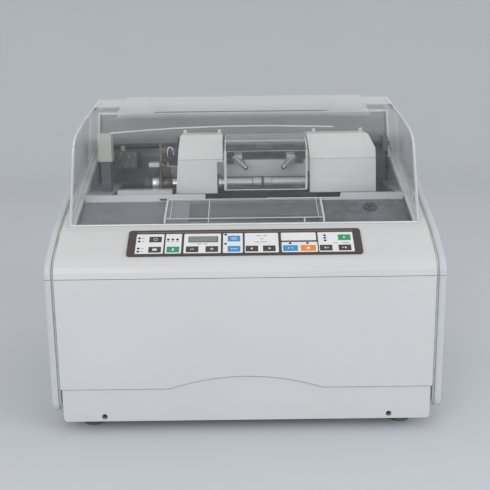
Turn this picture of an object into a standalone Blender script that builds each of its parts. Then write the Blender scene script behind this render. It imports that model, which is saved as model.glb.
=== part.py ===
"""Automatic lens edger: a table-top machine that grinds a spectacle lens to the outline of a pattern.

The lens is clamped between two turning shafts that a swinging head carries over a grinding wheel.
Units are metres, +X is the operator's right, +Y runs away from the operator, +Z is up.
A place is given as (x, behind, over): behind the front panel, and over the seam under the bullnose.
"""

import math

import bmesh
import bpy
from mathutils import Matrix, Vector
from mathutils.geometry import convex_hull_2d

# Body
BODY_WIDTH = 0.560
BODY_DEPTH = 0.472
SEAM_HEIGHT = 0.230
WALL = 0.003
SKIN = 0.0025
FIT = 0.0003
SEAM_GAP = 0.0008
OVERRUN = 0.004
ARC_STEP = math.radians(15)
CORNER_STEP = math.radians(45)
ROUND_SIDES = 20

# One step of the layout across the body, a millimetre at this width
LAYOUT_STEPS = 560
ACROSS = BODY_WIDTH / LAYOUT_STEPS

# Body outline, seen from the side
NOSE_HEIGHT = 0.018
NOSE_RADIUS = 0.031
PANEL_BEHIND = 0.062
PANEL_OVER = 0.0545
CREST_BEHIND = 0.345
CREST_OVER = 0.1586
CREST_RADIUS = 0.012
REAR_RADIUS_SHARE = 0.3937
SIDE_COVER = 0.0105
SIDE_GAP = 0.0035
SIDE_CLEAR = 0.030
SIDE_CORNER = 0.018
SIDE_EDGE = 0.003
BOSS_BEHIND = 0.200
BOSS_OVER = -0.060
BOSS_SIZE = 0.040

# Base and front panel
PAN_RISE = 0.067
PAN_CLEAR = 0.017
PAN_FRONT = 0.002
PAN_REAR_INSET = 0.020
PAN_EDGE = 0.006
PAN_STEP_IN = 0.002
ARCH_CHORD = 0.220
ARCH_RISE = 0.018
ARCH_STEPS = 14
FOOT_RADIUS = 0.0155
FOOT_X = 227 * ACROSS
FOOT_INSET = 0.040
SCREW_X = 205 * ACROSS
SCREW_RISE = 0.024
SCREW_HOLE_RADIUS = 0.00425
SCREW_SHANK_RADIUS = 0.0017

# Chassis
FLANGE_RISE = 0.040
FLOOR_RISE = 0.025
CHASSIS_SETBACK = 0.012
CHASSIS_REAR = 0.026

# Window in the fascia and deck tray
DECK_HALF = 247.5 * ACROSS
WINDOW_FRONT = 0.0795
STRIP_REAR = 0.0245
TRAY_DEPTH = 0.005
RIM_BEHIND = 0.150
RIM_SLOPE = 0.003
TRAY_BACK_OVER = 0.084
SHELF_OVER = 0.093
SHELF_REAR = 0.284
SHELF_FRONT = 0.159
WORK_LEFT = -205 * ACROSS
WORK_RIGHT = 235 * ACROSS
LEDGE_LEFT = -196 * ACROSS
LEDGE_RIGHT = -112 * ACROSS
LEDGE_REAR = 0.174
LEDGE_OVER = 0.100
DRAIN_LEFT = -83 * ACROSS
DRAIN_RIGHT = 113 * ACROSS
DRAIN_FRONT = 0.095
DRAIN_REAR = 0.146
RIM_NOTCH_LEFT = -60 * ACROSS
RIM_NOTCH_RIGHT = 150 * ACROSS
RIM_NOTCH_OVER = 0.0855

# Splash flap
FLAP_LEFT = -118 * ACROSS
FLAP_RIGHT = 118 * ACROSS
FLAP_FRONT = 0.0855
FLAP_REAR = 0.1485
FLAP_LEAN = 0.0035
FLAP_LIFT = 0.009
FLAP_REAR_LIFT = 0.0032
FLAP_WALL = 0.002

# Grinding basin
BASIN_TOP = 0.0902
BASIN_FLOOR = 0.0485
BASIN_FLANGE = 0.007
BASIN_REAR_TOP = 0.082
BASIN_NOTCH = 0.018
PIT_LEFT = -42 * ACROSS
PIT_RIGHT = 66 * ACROSS
PIT_FRONT_CLEAR = 0.005
PIT_REAR_CLEAR = 0.0055
PIT_BOTTOM_CLEAR = 0.008
SUMP_LEFT = -88 * ACROSS
SUMP_RIGHT = 120 * ACROSS
SUMP_FRONT = 0.0915
SUMP_REAR = 0.165
SUMP_BOTTOM = 0.037
SUMP_TOP = 0.0572

# Rear housing and inner back panel
HOUSING_HALF = 247 * ACROSS
HOUSING_FOOT = 0.133
HOUSING_FRONT = 0.279
HOUSING_LEAN = 0.032
HOUSING_BROW = 0.2105
HOUSING_TOP = 0.2165
HOUSING_BEND_SHARE = 0.5074
HOUSING_CORNER = 0.012
BACK_WALL_INSET = 0.0235
VENT_ROWS = 7
VENT_PITCH = 0.011
VENT_HEIGHT = 0.0045
VENT_LENGTH = 90 * ACROSS
VENT_X = 60 * ACROSS
VENT_RISE = 0.160
BACK_PANEL_HALF = 240 * ACROSS
BACK_PANEL_FRONT = 0.2845
BACK_PANEL_WALL = 0.002
BACK_PANEL_LEAN = 0.0265
BACK_PANEL_BEND = 0.139
BACK_PANEL_TOP = 0.2070
NOTCH_LEFT = -112 * ACROSS
NOTCH_RIGHT = 150 * ACROSS
NOTCH_TOP = 0.170
LUG_FRONT = 0.262
LUG_REAR = 0.300
LUG_LOW = 0.145
LUG_HIGH = 0.169
LUG_WIDTH = 0.008

# Hood
HOOD_HALF = 256 * ACROSS
HOOD_WALL = 0.0028
HOOD_GAP = 0.0005
HOOD_FRONT = 0.0745
HOOD_BROW_BEHIND = 0.131
HOOD_BROW_OVER = 0.182
HOOD_BROW_RADIUS = 0.050
HOOD_BEND_BEHIND = 0.219
HOOD_BEND_OVER = 0.204
HOOD_OVERHANG = 0.004
HOOD_REAR_OVER = 0.230
RIDGE_HALF = 206.5 * ACROSS
RIDGE_FRONT = 0.250
RIDGE_OVERHANG = 0.002
RIDGE_HEIGHT = 0.004
HINGE_SETBACK = 0.007
HINGE_OVER = 0.2215
HINGE_X = 150 * ACROSS
HINGE_LENGTH = 0.030
KNUCKLE_RADIUS = 0.0038
HINGE_PIN_RADIUS = 0.0018
HINGE_PLATE = 0.0015

# Keypad, in the plane of the slope: x, then up the slope from the overlay's middle
OVERLAY_WIDTH = 332 * ACROSS
OVERLAY_HEIGHT = 0.0525
OVERLAY_THICK = 0.002
OVERLAY_CORNER = 0.004
KEY_WIDTH = 0.0175
WIDE_KEY_WIDTH = 0.0205
KEY_HEIGHT = 0.0116
KEY_CORNER = 0.001
KEY_BOTTOM = 0.0010
KEY_TOP = 0.0026
ROW_TOP = 0.0067
ROW_BOTTOM = -0.0144

# Keys: name, place across as a share of the overlay's width, and colour
WIDE_KEYS = ("key_clamp", "key_stop")
TOP_ROW_SHARES = (
    ("key_lens", -0.3819, "brown"),
    ("key_mode", -0.0452, "blue"),
    ("key_start", 0.4277, "green"),
)
BOTTOM_ROW_SHARES = (
    ("key_pattern", -0.3817, "brown"),
    ("key_water", -0.3044, "green"),
    ("key_minus", -0.2227, "brown"),
    ("key_plus", -0.1392, "brown"),
    ("key_size", -0.0452, "blue"),
    ("key_left", 0.0308, "brown"),
    ("key_right", 0.1043, "brown"),
    ("key_clamp", 0.1940, "blue"),
    ("key_stop", 0.2696, "orange"),
    ("key_traverse_left", 0.3452, "brown"),
    ("key_traverse_right", 0.4250, "brown"),
)

# Head: the lens axis, and the guide shaft that the head swings on
LENS_BEHIND = 0.200
LENS_OVER = 0.104
GUIDE_BEHIND = 0.318
GUIDE_OVER = 0.118
GUIDE_RADIUS = 0.0125
GUIDE_END = 262.5 * ACROSS
SCREW_BEHIND = 0.274
TRAVERSE_OVER = 0.157
TRAVERSE_RADIUS = 0.0045
TRAVERSE_END = 243.5 * ACROSS
SADDLE_RADIUS = 0.019
NUT_LEFT = 20 * ACROSS
NUT_RIGHT = 50 * ACROSS
NUT_LOW = 0.149
NUT_FRONT = 0.266
NUT_REAR = 0.330
ARM_LEFT = -68 * ACROSS
ARM_WIDTH = 0.022
BOSS_LEFT = 114 * ACROSS
BOSS_RIGHT = 150 * ACROSS
YOKE_PIVOT_RADIUS = 0.022
YOKE_LENS_RADIUS = 0.0175
BEAM_FRONT = 0.250
BEAM_REAR = 0.262
BEAM_LOW = 0.107
BEAM_HIGH = 0.134
TAIL_LEFT = -133 * ACROSS
TAIL_HIGH = 0.125
BLOCK_WIDTH = 0.013
BLOCK_HIGH = 0.146

# Head covers, seen from the front and from the side
COVER_FRONT = 0.178
COVER_REAR = 0.2497
COVER_BAND = 0.144
COVER_LEAN = 0.003
COVER_FOLD = 0.159
COVER_TOP = 0.180
COVER_SETBACK = 0.026
COVER_FOOT = 0.0905
LEFT_COVER_FOOT = -107 * ACROSS
LEFT_COVER_TOP = -100 * ACROSS
LEFT_COVER_REACH = 0.013
LEFT_COVER_STEP = 0.009
LEFT_COVER_NOTCH = 0.140
RIGHT_COVER_LEFT = 104 * ACROSS
RIGHT_COVER_TOP_LEFT = 100 * ACROSS
RIGHT_COVER_TOP_RIGHT = 197 * ACROSS
RIGHT_COVER_SHOULDER = 206 * ACROSS
RIGHT_COVER_FOOT = 208 * ACROSS
COVER_CORNER = 0.003

# Clear guard over the lens
GUARD_LEFT = -29.5 * ACROSS
GUARD_RIGHT = 98 * ACROSS
GUARD_FRONT = 0.161
GUARD_FOOT = 0.097
GUARD_SHOULDER = 0.160
GUARD_BROW = 0.173
GUARD_TOP = 0.1795
GUARD_TOP_FRONT = 0.180
GUARD_TOP_REAR = 0.232
GUARD_REAR = 0.2497
GUARD_REAR_OVER = 0.168
GUARD_REAR_FOOT = 0.128
GUARD_CUT_LEFT = -16 * ACROSS
GUARD_CUT_RIGHT = 85 * ACROSS
GUARD_TAB = 0.006

# Lens shafts
SHAFT_RADIUS = 0.008
SHAFT_ARM_RADIUS = 0.0085
COLLAR_RADIUS = 0.0125
COLLAR_SMALL_RADIUS = 0.0088
LENS_BLOCK_RADIUS = 0.009
LENS_BLOCK_LEFT = 15 * ACROSS
PAD_LEFT = 28 * ACROSS
PAD_RIGHT = 32 * ACROSS
PAD_RADIUS = 0.010
SEAL_LEFT = -41.5 * ACROSS
SEAL_RIGHT = -36 * ACROSS
INNER_COLLAR_LEFT = -129 * ACROSS
INNER_COLLAR_RIGHT = -113.5 * ACROSS
OUTER_COLLAR_LEFT = -145 * ACROSS
OUTER_COLLAR_RIGHT = -133.5 * ACROSS
DRIVE_END = -156 * ACROSS
STUB_RADIUS = 0.004
KNOB_LEFT = -157.5 * ACROSS
KNOB_RIGHT = -145.5 * ACROSS
KNOB_RADIUS = 0.0105
QUILL_LEFT = 108 * ACROSS
QUILL_RIGHT = 176 * ACROSS
QUILL_RADIUS = 0.014
CLAMP_SHOULDER_LEFT = 100.5 * ACROSS
CLAMP_SHOULDER_RIGHT = 103.5 * ACROSS
CLAMP_NOSE = 44 * ACROSS
CLAMP_END = 179.5 * ACROSS
CLAMP_END_RADIUS = 0.011

# Pattern bracket
BRACKET_LEFT = -132.5 * ACROSS
BRACKET_RIGHT = -129.5 * ACROSS
BRACKET_FRONT = 0.182
BRACKET_REAR = 0.218
BRACKET_LOW = 0.089
BRACKET_HIGH = 0.125
BRACKET_TOP = 0.169
BRACKET_NECK = 0.012
BRACKET_FOOT = 0.016
SENSOR_LEFT = -149 * ACROSS
SENSOR_RIGHT = -124 * ACROSS
SENSOR_LOW = 0.1195
SENSOR_HIGH = 0.137
SENSOR_DEPTH = 0.020
TAB_RIGHT = -112 * ACROSS
TAB_LOW = 0.146
TAB_HIGH = 0.162
TAB_DEPTH = 0.008
RING_RADIUS = 0.0065
RING_OVER = 0.1435

# Water nozzles
NOZZLE_X = (-9 * ACROSS, 77 * ACROSS)
NOZZLE_AIM = (0.014, -0.014)
NOZZLE_BEHIND = 0.2455
NOZZLE_OVER = 0.140
BARREL_RADIUS = 0.0055
BARREL_LENGTH = 0.012
SPOUT_RADIUS = 0.0028
SPOUT_REACH = 0.019
SPOUT_DROP = 0.017

# Grinding drive
SPINDLE_BEHIND = 0.237
SPINDLE_OVER = 0.025
SPINDLE_LEFT = -36 * ACROSS
SPINDLE_RIGHT = 218 * ACROSS
SPINDLE_RADIUS = 0.010
ARBOR_RADIUS = 0.008
WHEEL_RADIUS = 0.050
ROUGH_LEFT = -28.5 * ACROSS
ROUGH_RIGHT = 11.5 * ACROSS
BEVEL_LEFT = 12 * ACROSS
BEVEL_RIGHT = 51.5 * ACROSS
GROOVE_CENTRE = 32 * ACROSS
GROOVE_HALF = 0.004
GROOVE_DEPTH = 0.003
FLANGE_RADIUS = 0.020
FLANGE_LEFT = 51.8 * ACROSS
FLANGE_WIDTH = 0.004
NUT_RADIUS = 0.014
BEARING_RADIUS = 0.021
BEARING_LEFT = 70 * ACROSS
BEARING_RIGHT = 190 * ACROSS
PEDESTAL_LEFT = 85 * ACROSS
PEDESTAL_RIGHT = 175 * ACROSS
PEDESTAL_HALF = 0.025
PULLEY_LEFT = 196 * ACROSS
PULLEY_RIGHT = 216 * ACROSS
PULLEY_RIM = 0.002
SPINDLE_PULLEY_RADIUS = 0.016
MOTOR_PULLEY_RADIUS = 0.032
MOTOR_RADIUS = 0.058
MOTOR_LEFT = 45 * ACROSS
MOTOR_RIGHT = 185 * ACROSS
MOTOR_INSET = 0.087
MOTOR_RISE = 0.091
MOTOR_FOOT = 0.030
MOTOR_SHAFT_RADIUS = 0.007
MOTOR_SHAFT_DEPTH = 0.030
BELT_WIDTH = 0.012
BELT_THICK = 0.003

# Small things around the working space
REST_LEFT = -190 * ACROSS
REST_RIGHT = -122 * ACROSS
REST_FRONT = 0.190
REST_REAR = 0.212
REST_THICK = 0.005
REST_STEM_RADIUS = 0.004
REST_STEM_BOTTOM = 0.020
POST_LEFT = -226 * ACROSS
POST_RIGHT = -211 * ACROSS
POST_FRONT = 0.192
POST_REAR = 0.208
POST_HEAD_LOW = 0.141
POST_HEAD_HIGH = 0.184
POST_HEAD_GROW = 0.003
SIZE_LEFT = -214 * ACROSS
SIZE_RIGHT = -176 * ACROSS
SIZE_DEPTH = 0.0395
SIZE_LOW = 0.123
SIZE_HIGH = 0.150
SIZE_CAP_X = -201 * ACROSS
SIZE_CAP_RADIUS = 0.004
SIZE_CAP_HIGH = 0.158

# Rear fittings
INLET_X = -190 * ACROSS
INLET_RISE = 0.110
INLET_WIDTH = 0.062
INLET_HEIGHT = 0.032
INLET_FLANGE = 0.003
INLET_DEPTH = 0.030
SOCKET_X = 0.013
SOCKET_WIDTH = 0.024
SOCKET_HEIGHT = 0.020
SOCKET_DEPTH = 0.022
SOCKET_CORNER = 0.004
PIN_SIZE = 0.002
PIN_LENGTH = 0.014
PIN_SPREAD = 0.007
ROCKER_X = -0.017
ROCKER_WIDTH = 0.014
ROCKER_HEIGHT = 0.020
ROCKER_THICK = 0.008
ROCKER_TILT = math.radians(7)
WELL_DEPTH = 0.014
HOSE_X = (150 * ACROSS, 200 * ACROSS)
HOSE_RISE = 0.175
HOSE_RADIUS = 0.007
HOSE_BORE = 0.0035
HOSE_LENGTH = 0.0185
HOSE_NUT_RADIUS = 0.010
HOSE_BARB = 0.001
HOSE_PLATE = 0.003

# Colours
WHITE = (0.61, 0.61, 0.62)
FASCIA_WHITE = (0.64, 0.64, 0.64)
COVER_WHITE = (0.50, 0.52, 0.54)
TRAY_GREY = (0.30, 0.32, 0.34)
CLEAR = (0.85, 0.87, 0.88)
DARK = (0.045, 0.048, 0.052)
BLACK = (0.012, 0.012, 0.013)
STEEL = (0.55, 0.56, 0.58)
BRASS_COLOUR = (0.55, 0.38, 0.17)
BLUE = (0.02, 0.22, 0.60)
GREEN = (0.02, 0.36, 0.16)
ORANGE = (0.85, 0.30, 0.03)
KEY_BROWN = (0.12, 0.09, 0.08)
OVERLAY_GREY = (0.16, 0.13, 0.12)
WHEEL_TAN = (0.30, 0.22, 0.15)

SIDE_BOTTOM = SIDE_CLEAR - SEAM_HEIGHT
PAN_TOP = PAN_RISE - SEAM_HEIGHT
PAN_BOTTOM = PAN_CLEAR - SEAM_HEIGHT
PAN_REAR = BODY_DEPTH - PAN_REAR_INSET
SCREW_OVER = SCREW_RISE - SEAM_HEIGHT
FLANGE_TOP = FLANGE_RISE - SEAM_HEIGHT
FLOOR_OVER = FLOOR_RISE - SEAM_HEIGHT
MOTOR_OVER = MOTOR_RISE - SEAM_HEIGHT
MOTOR_BEHIND = BODY_DEPTH - MOTOR_INSET
INLET_OVER = INLET_RISE - SEAM_HEIGHT
VENT_OVER = VENT_RISE - SEAM_HEIGHT
HOSE_OVER = HOSE_RISE - SEAM_HEIGHT
SIZE_FRONT = BACK_PANEL_FRONT - SIZE_DEPTH
PIT_FRONT = SPINDLE_BEHIND - WHEEL_RADIUS - PIT_FRONT_CLEAR
PIT_REAR = SPINDLE_BEHIND + WHEEL_RADIUS + PIT_REAR_CLEAR
PIT_BOTTOM = SPINDLE_OVER - WHEEL_RADIUS - PIT_BOTTOM_CLEAR
LEFT_COVER_RIGHT = ARM_LEFT + ARM_WIDTH + LEFT_COVER_REACH
REAR_RADIUS = REAR_RADIUS_SHARE * (BODY_DEPTH - CREST_BEHIND)
BACK_WALL_BEHIND = BODY_DEPTH - BACK_WALL_INSET
HOUSING_BEND = HOUSING_FRONT + HOUSING_BEND_SHARE * (BACK_WALL_BEHIND - HOUSING_FRONT)
HINGE_BEHIND = HOUSING_BEND + HINGE_SETBACK
HOOD_REAR = HINGE_BEHIND + HOOD_OVERHANG
HOOD_FOOT_REAR = CREST_BEHIND
RIDGE_REAR = HINGE_BEHIND + RIDGE_OVERHANG
SADDLE_LEFT = ARM_LEFT + ARM_WIDTH + FIT
SADDLE_RIGHT = BOSS_LEFT - FIT
CREST_SLOPE = (CREST_OVER - PANEL_OVER) / (CREST_BEHIND - PANEL_BEHIND)
CASING_HALF = BODY_WIDTH / 2 - SIDE_COVER - SIDE_GAP
PAN_HALF = CASING_HALF - PAN_STEP_IN
CHASSIS_HALF = PAN_HALF - WALL - FIT
PAN_FLOOR = PAN_BOTTOM + WALL
LENS_AXIS = (LENS_BEHIND, LENS_OVER)
GUIDE_AXIS = (GUIDE_BEHIND, GUIDE_OVER)
SPINDLE_AXIS = (SPINDLE_BEHIND, SPINDLE_OVER)
MOTOR_AXIS = (MOTOR_BEHIND, MOTOR_OVER)
TRAVERSE_AXIS = (SCREW_BEHIND, TRAVERSE_OVER)
HINGE_AXIS = (HINGE_BEHIND, HINGE_OVER)


def crest(behind):
    """Height of the sloping deck plane over the seam, at a depth behind the front panel."""
    return PANEL_OVER + CREST_SLOPE * (behind - PANEL_BEHIND)


def place(x, behind, over):
    """Turn a place on the machine into the model's coordinates."""
    return Vector((x, behind - BODY_DEPTH / 2, over + SEAM_HEIGHT))


# Outlines

def rounded(corners, closed=True, arc_step=ARC_STEP):
    """Return an outline's points, with each (u, v, radius) corner as an arc."""
    points = []
    last = len(corners) - 1
    for index, (u, v, radius) in enumerate(corners):
        corner = Vector((u, v))
        if radius <= 0 or (not closed and index in (0, last)):
            points.append(corner)
            continue
        before = Vector(corners[index - 1][:2]) - corner
        after = Vector(corners[(index + 1) % len(corners)][:2]) - corner
        before.normalize()
        after.normalize()
        half = before.angle(after) / 2
        reach = radius / math.tan(half)
        centre = corner + (before + after).normalized() * (radius / math.sin(half))
        start = corner + before * reach - centre
        turn = math.pi - 2 * half
        if start.x * (corner + after * reach - centre).y < start.y * (corner + after * reach - centre).x:
            turn = -turn
        steps = max(2, round(abs(turn) / arc_step))
        for step in range(steps + 1):
            points.append(centre + Matrix.Rotation(turn * step / steps, 2) @ start)
    return points


def area(corners):
    """Signed area of an outline, positive when it runs anticlockwise."""
    total = 0
    for index, corner in enumerate(corners):
        after = corners[(index + 1) % len(corners)]
        total += corner[0] * after[1] - after[0] * corner[1]
    return total / 2


def inset(corners, walls):
    """Move each edge of an outline inward by its wall, or outward where the wall is negative."""
    side = 1 if area(corners) > 0 else -1
    moved = []
    for index, (u, v, radius) in enumerate(corners):
        corner = Vector((u, v))
        before = (corner - Vector(corners[index - 1][:2])).normalized()
        after = (Vector(corners[(index + 1) % len(corners)][:2]) - corner).normalized()
        wall_before = walls[index - 1]
        wall_after = walls[index]
        inward_before = Vector((-before.y, before.x)) * side
        inward_after = Vector((-after.y, after.x)) * side
        from_before = corner + inward_before * wall_before
        from_after = corner + inward_after * wall_after
        cross = before.cross(after)
        along = (from_after - from_before).cross(after) / cross
        point = from_before + before * along
        inner = max(0, radius - max(wall_before, wall_after)) if radius else 0
        moved.append((point.x, point.y, inner))
    return moved


def circle(u, v, radius, sides=ROUND_SIDES):
    """Points of a circle."""
    angles = [2 * math.pi * step / sides for step in range(sides)]
    return [Vector((u + radius * math.cos(a), v + radius * math.sin(a))) for a in angles]


def oblong(left, right, low, high, radius=0):
    """Points of a rectangle, with rounded corners if a radius is given."""
    corners = [(left, low), (right, low), (right, high), (left, high)]
    return rounded([(u, v, radius) for u, v in corners], True, CORNER_STEP)


def band(points, wall):
    """Outline of a sheet that follows an open run of points, with its wall on the run's right."""
    inner = []
    last = len(points) - 1
    for index, point in enumerate(points):
        before = (point - points[index - 1]) if index else (points[1] - point)
        after = (points[index + 1] - point) if index < last else before
        into = Vector((before.y, -before.x)).normalized()
        onward = Vector((after.y, -after.x)).normalized()
        inner.append(point + (into + onward) * (wall / (1 + into.dot(onward))))
    return points + inner[::-1]


def hull(*outlines):
    """Outline that a tight band round several outlines would take."""
    points = [point for outline in outlines for point in outline]
    return [points[index] for index in convex_hull_2d(points)]


# Objects

def new_collection(name):
    """Make an empty collection in the scene."""
    collection = bpy.data.collections.new(name)
    bpy.context.scene.collection.children.link(collection)
    return collection


def surface(name, colour, roughness, metallic=0.0, alpha=1.0):
    """Principled material with one colour."""
    made = bpy.data.materials.new(name)
    made.use_nodes = True
    shader = made.node_tree.nodes["Principled BSDF"]
    shader.inputs["Base Color"].default_value = (*colour, 1)
    shader.inputs["Roughness"].default_value = roughness
    shader.inputs["Metallic"].default_value = metallic
    shader.inputs["Alpha"].default_value = alpha
    return made


def link(name, mesh, matrix=None):
    """Add a mesh to the parts collection as a named object."""
    made = bpy.data.objects.new(name, mesh)
    bpy.data.collections["automatic_lens_edger"].objects.link(made)
    if matrix is not None:
        made.matrix_world = matrix
    return made


def smooth(made, angle=math.radians(35)):
    """Shade a round piece smooth, with its corners sharp."""
    made.data.shade_smooth()
    made.data.set_sharp_from_angle(angle=angle)
    return made


def settle(made):
    """Replace an object's mesh and modifiers with the shape that they make."""
    bpy.context.view_layer.update()
    evaluated = made.evaluated_get(bpy.context.evaluated_depsgraph_get())
    mesh = bpy.data.meshes.new_from_object(evaluated)
    mesh.name = made.name
    old = made.data
    made.modifiers.clear()
    made.data = mesh
    bpy.data.meshes.remove(old)
    return made


def box(name, low, high, matrix=None):
    """Box between two corner places, or two local corners if a matrix is given."""
    low = Vector(low)
    high = Vector(high)
    middle = (low + high) / 2
    bm = bmesh.new()
    bmesh.ops.create_cube(bm, size=1)
    bmesh.ops.scale(bm, vec=high - low, verts=bm.verts)
    mesh = bpy.data.meshes.new(name)
    if matrix is None:
        matrix = Matrix.Translation(place(*middle))
    else:
        bmesh.ops.translate(bm, vec=middle, verts=bm.verts)
    bm.to_mesh(mesh)
    bm.free()
    return link(name, mesh, matrix)


def frame_for(axis):
    """Matrix that lays a flat outline's u, v and thickness on the machine's directions."""
    turned = {
        "x": Matrix(((0, 0, 1), (1, 0, 0), (0, 1, 0))),
        "behind": Matrix(((1, 0, 0), (0, 0, -1), (0, 1, 0))),
        "over": Matrix(((1, 0, 0), (0, 1, 0), (0, 0, 1))),
    }[axis]
    return turned.to_4x4()


def outline_solid(name, outlines, thickness, matrix, edge=0):
    """Solid with a flat outline, and holes if more outlines are given, half to each side of the plane."""
    curve = bpy.data.curves.new(name, "CURVE")
    curve.dimensions = "2D"
    curve.fill_mode = "BOTH"
    curve.extrude = thickness / 2 - edge
    if edge:
        curve.bevel_depth = edge
        curve.bevel_resolution = 1
        curve.offset = -edge
    for points in outlines:
        spline = curve.splines.new("POLY")
        spline.points.add(len(points) - 1)
        for point, spot in zip(spline.points, points):
            point.co = (spot[0], spot[1], 0, 1)
        spline.use_cyclic_u = True
    drawn = bpy.data.objects.new(name, curve)
    bpy.context.scene.collection.objects.link(drawn)
    drawn.matrix_world = matrix
    bpy.context.view_layer.update()
    evaluated = drawn.evaluated_get(bpy.context.evaluated_depsgraph_get())
    mesh = bpy.data.meshes.new_from_object(evaluated)
    mesh.name = name
    bm = bmesh.new()
    bm.from_mesh(mesh)
    bmesh.ops.remove_doubles(bm, verts=bm.verts, dist=FIT / 10)
    bmesh.ops.recalc_face_normals(bm, faces=bm.faces)
    bm.to_mesh(mesh)
    bm.free()
    matrix = drawn.matrix_world.copy()
    bpy.data.objects.remove(drawn)
    return link(name, mesh, matrix)


def plate(name, outlines, axis, low, high, edge=0):
    """Flat solid across the machine: its outline faces along axis, from low to high."""
    middle = (low + high) / 2
    if axis == "x":
        spot = place(middle, 0, 0)
    elif axis == "behind":
        spot = place(0, middle, 0)
    else:
        spot = place(0, 0, middle)
    return outline_solid(name, outlines, high - low, Matrix.Translation(spot) @ frame_for(axis), edge)


def rod(name, start, end, radius, sides=ROUND_SIDES):
    """Cylinder between two places."""
    start = place(*start)
    end = place(*end)
    bm = bmesh.new()
    length = (end - start).length
    bmesh.ops.create_cone(bm, cap_ends=True, segments=sides, radius1=radius, radius2=radius, depth=length)
    mesh = bpy.data.meshes.new(name)
    bm.to_mesh(mesh)
    bm.free()
    turn = (end - start).to_track_quat("Z", "Y").to_matrix().to_4x4()
    return smooth(link(name, mesh, Matrix.Translation((start + end) / 2) @ turn))


def rod_x(name, low, high, spot, radius, sides=ROUND_SIDES):
    """Cylinder across the machine, on an axis given as (behind, over)."""
    return rod(name, (low, *spot), (high, *spot), radius, sides)


def turned(name, stations, spot, sides=ROUND_SIDES, bore=None, axis="x"):
    """Turned piece from (along, radius) stations, its high end first, with a bore if one is given."""
    top = stations[0][0]
    bottom = stations[-1][0]
    inner = 0 if bore is None else bore
    outline = [(inner, top)] + [(radius, along) for along, radius in stations] + [(inner, bottom)]
    mesh = bpy.data.meshes.new(name)
    bm = bmesh.new()
    corners = [bm.verts.new((radius, 0, along)) for radius, along in outline]
    for first, second in zip(corners, corners[1:]):
        bm.edges.new((first, second))
    if bore is not None:
        bm.edges.new((corners[-1], corners[0]))
    bm.to_mesh(mesh)
    bm.free()
    direction = {
        "x": Matrix.Rotation(math.pi / 2, 4, "Y"),
        "behind": Matrix.Rotation(-math.pi / 2, 4, "X"),
        "over": Matrix.Identity(4),
    }[axis]
    made = link(name, mesh, Matrix.Translation(spot) @ direction)
    screw = made.modifiers.new("turn", "SCREW")
    screw.axis = "Z"
    screw.steps = sides
    screw.render_steps = sides
    screw.use_merge_vertices = True
    screw.merge_threshold = FIT / 10
    screw.use_smooth_shade = False
    return smooth(settle(made))


def boolean(target, tool, operation):
    """Cut or join one object with another, which becomes a hidden guide."""
    modifier = target.modifiers.new(operation.lower(), "BOOLEAN")
    modifier.operation = operation
    modifier.solver = "EXACT"
    modifier.object = tool
    for collection in tool.users_collection:
        collection.objects.unlink(tool)
    bpy.data.collections["cutters"].objects.link(tool)
    tool.hide_render = True
    tool.display_type = "WIRE"


def cut(target, *tools):
    """Take the tools' shapes out of the target."""
    for tool in tools:
        boolean(target, tool, "DIFFERENCE")
    return target


def join(target, *tools):
    """Add the tools' shapes to the target."""
    for tool in tools:
        boolean(target, tool, "UNION")
    return target


def keep(target, tool):
    """Keep only what the target and the tool share."""
    boolean(target, tool, "INTERSECT")
    return target


def dress(made, finish):
    """Give an object its material."""
    made.data.materials.clear()
    made.data.materials.append(finish)
    return made


def pivot(name, spot):
    """Empty that stands on a joint's axis."""
    made = bpy.data.objects.new(name, None)
    bpy.context.scene.collection.objects.link(made)
    made.matrix_world = Matrix.Translation(spot)
    bpy.context.view_layer.update()
    return made


def carry(parent, *children):
    """Parent pieces to a carrier, where they stand."""
    for child in children:
        child.parent = parent
        child.matrix_parent_inverse = parent.matrix_world.inverted()


# Casing

def body_outline():
    """Corners of the casing's outline, from the side: up the front, over the top and down the rear."""
    return [
        (0, SIDE_BOTTOM, SIDE_CORNER),
        (0, NOSE_HEIGHT, NOSE_RADIUS),
        (PANEL_BEHIND, PANEL_OVER, CREST_RADIUS),
        (CREST_BEHIND, CREST_OVER, CREST_RADIUS),
        (BODY_DEPTH, CREST_OVER, REAR_RADIUS),
        (BODY_DEPTH, SIDE_BOTTOM, SIDE_CORNER),
    ]


def arch_points(over):
    """Points of the arched seam in the middle of the front, left to right, from a level seam line."""
    radius = (ARCH_CHORD ** 2 / 4 + ARCH_RISE ** 2) / (2 * ARCH_RISE)
    half_angle = math.asin(ARCH_CHORD / 2 / radius)
    points = []
    for step in range(ARCH_STEPS + 1):
        angle = half_angle * (2 * step / ARCH_STEPS - 1)
        rise = radius * math.cos(angle) - (radius - ARCH_RISE)
        points.append(Vector((radius * math.sin(angle), over + rise)))
    return points


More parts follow.
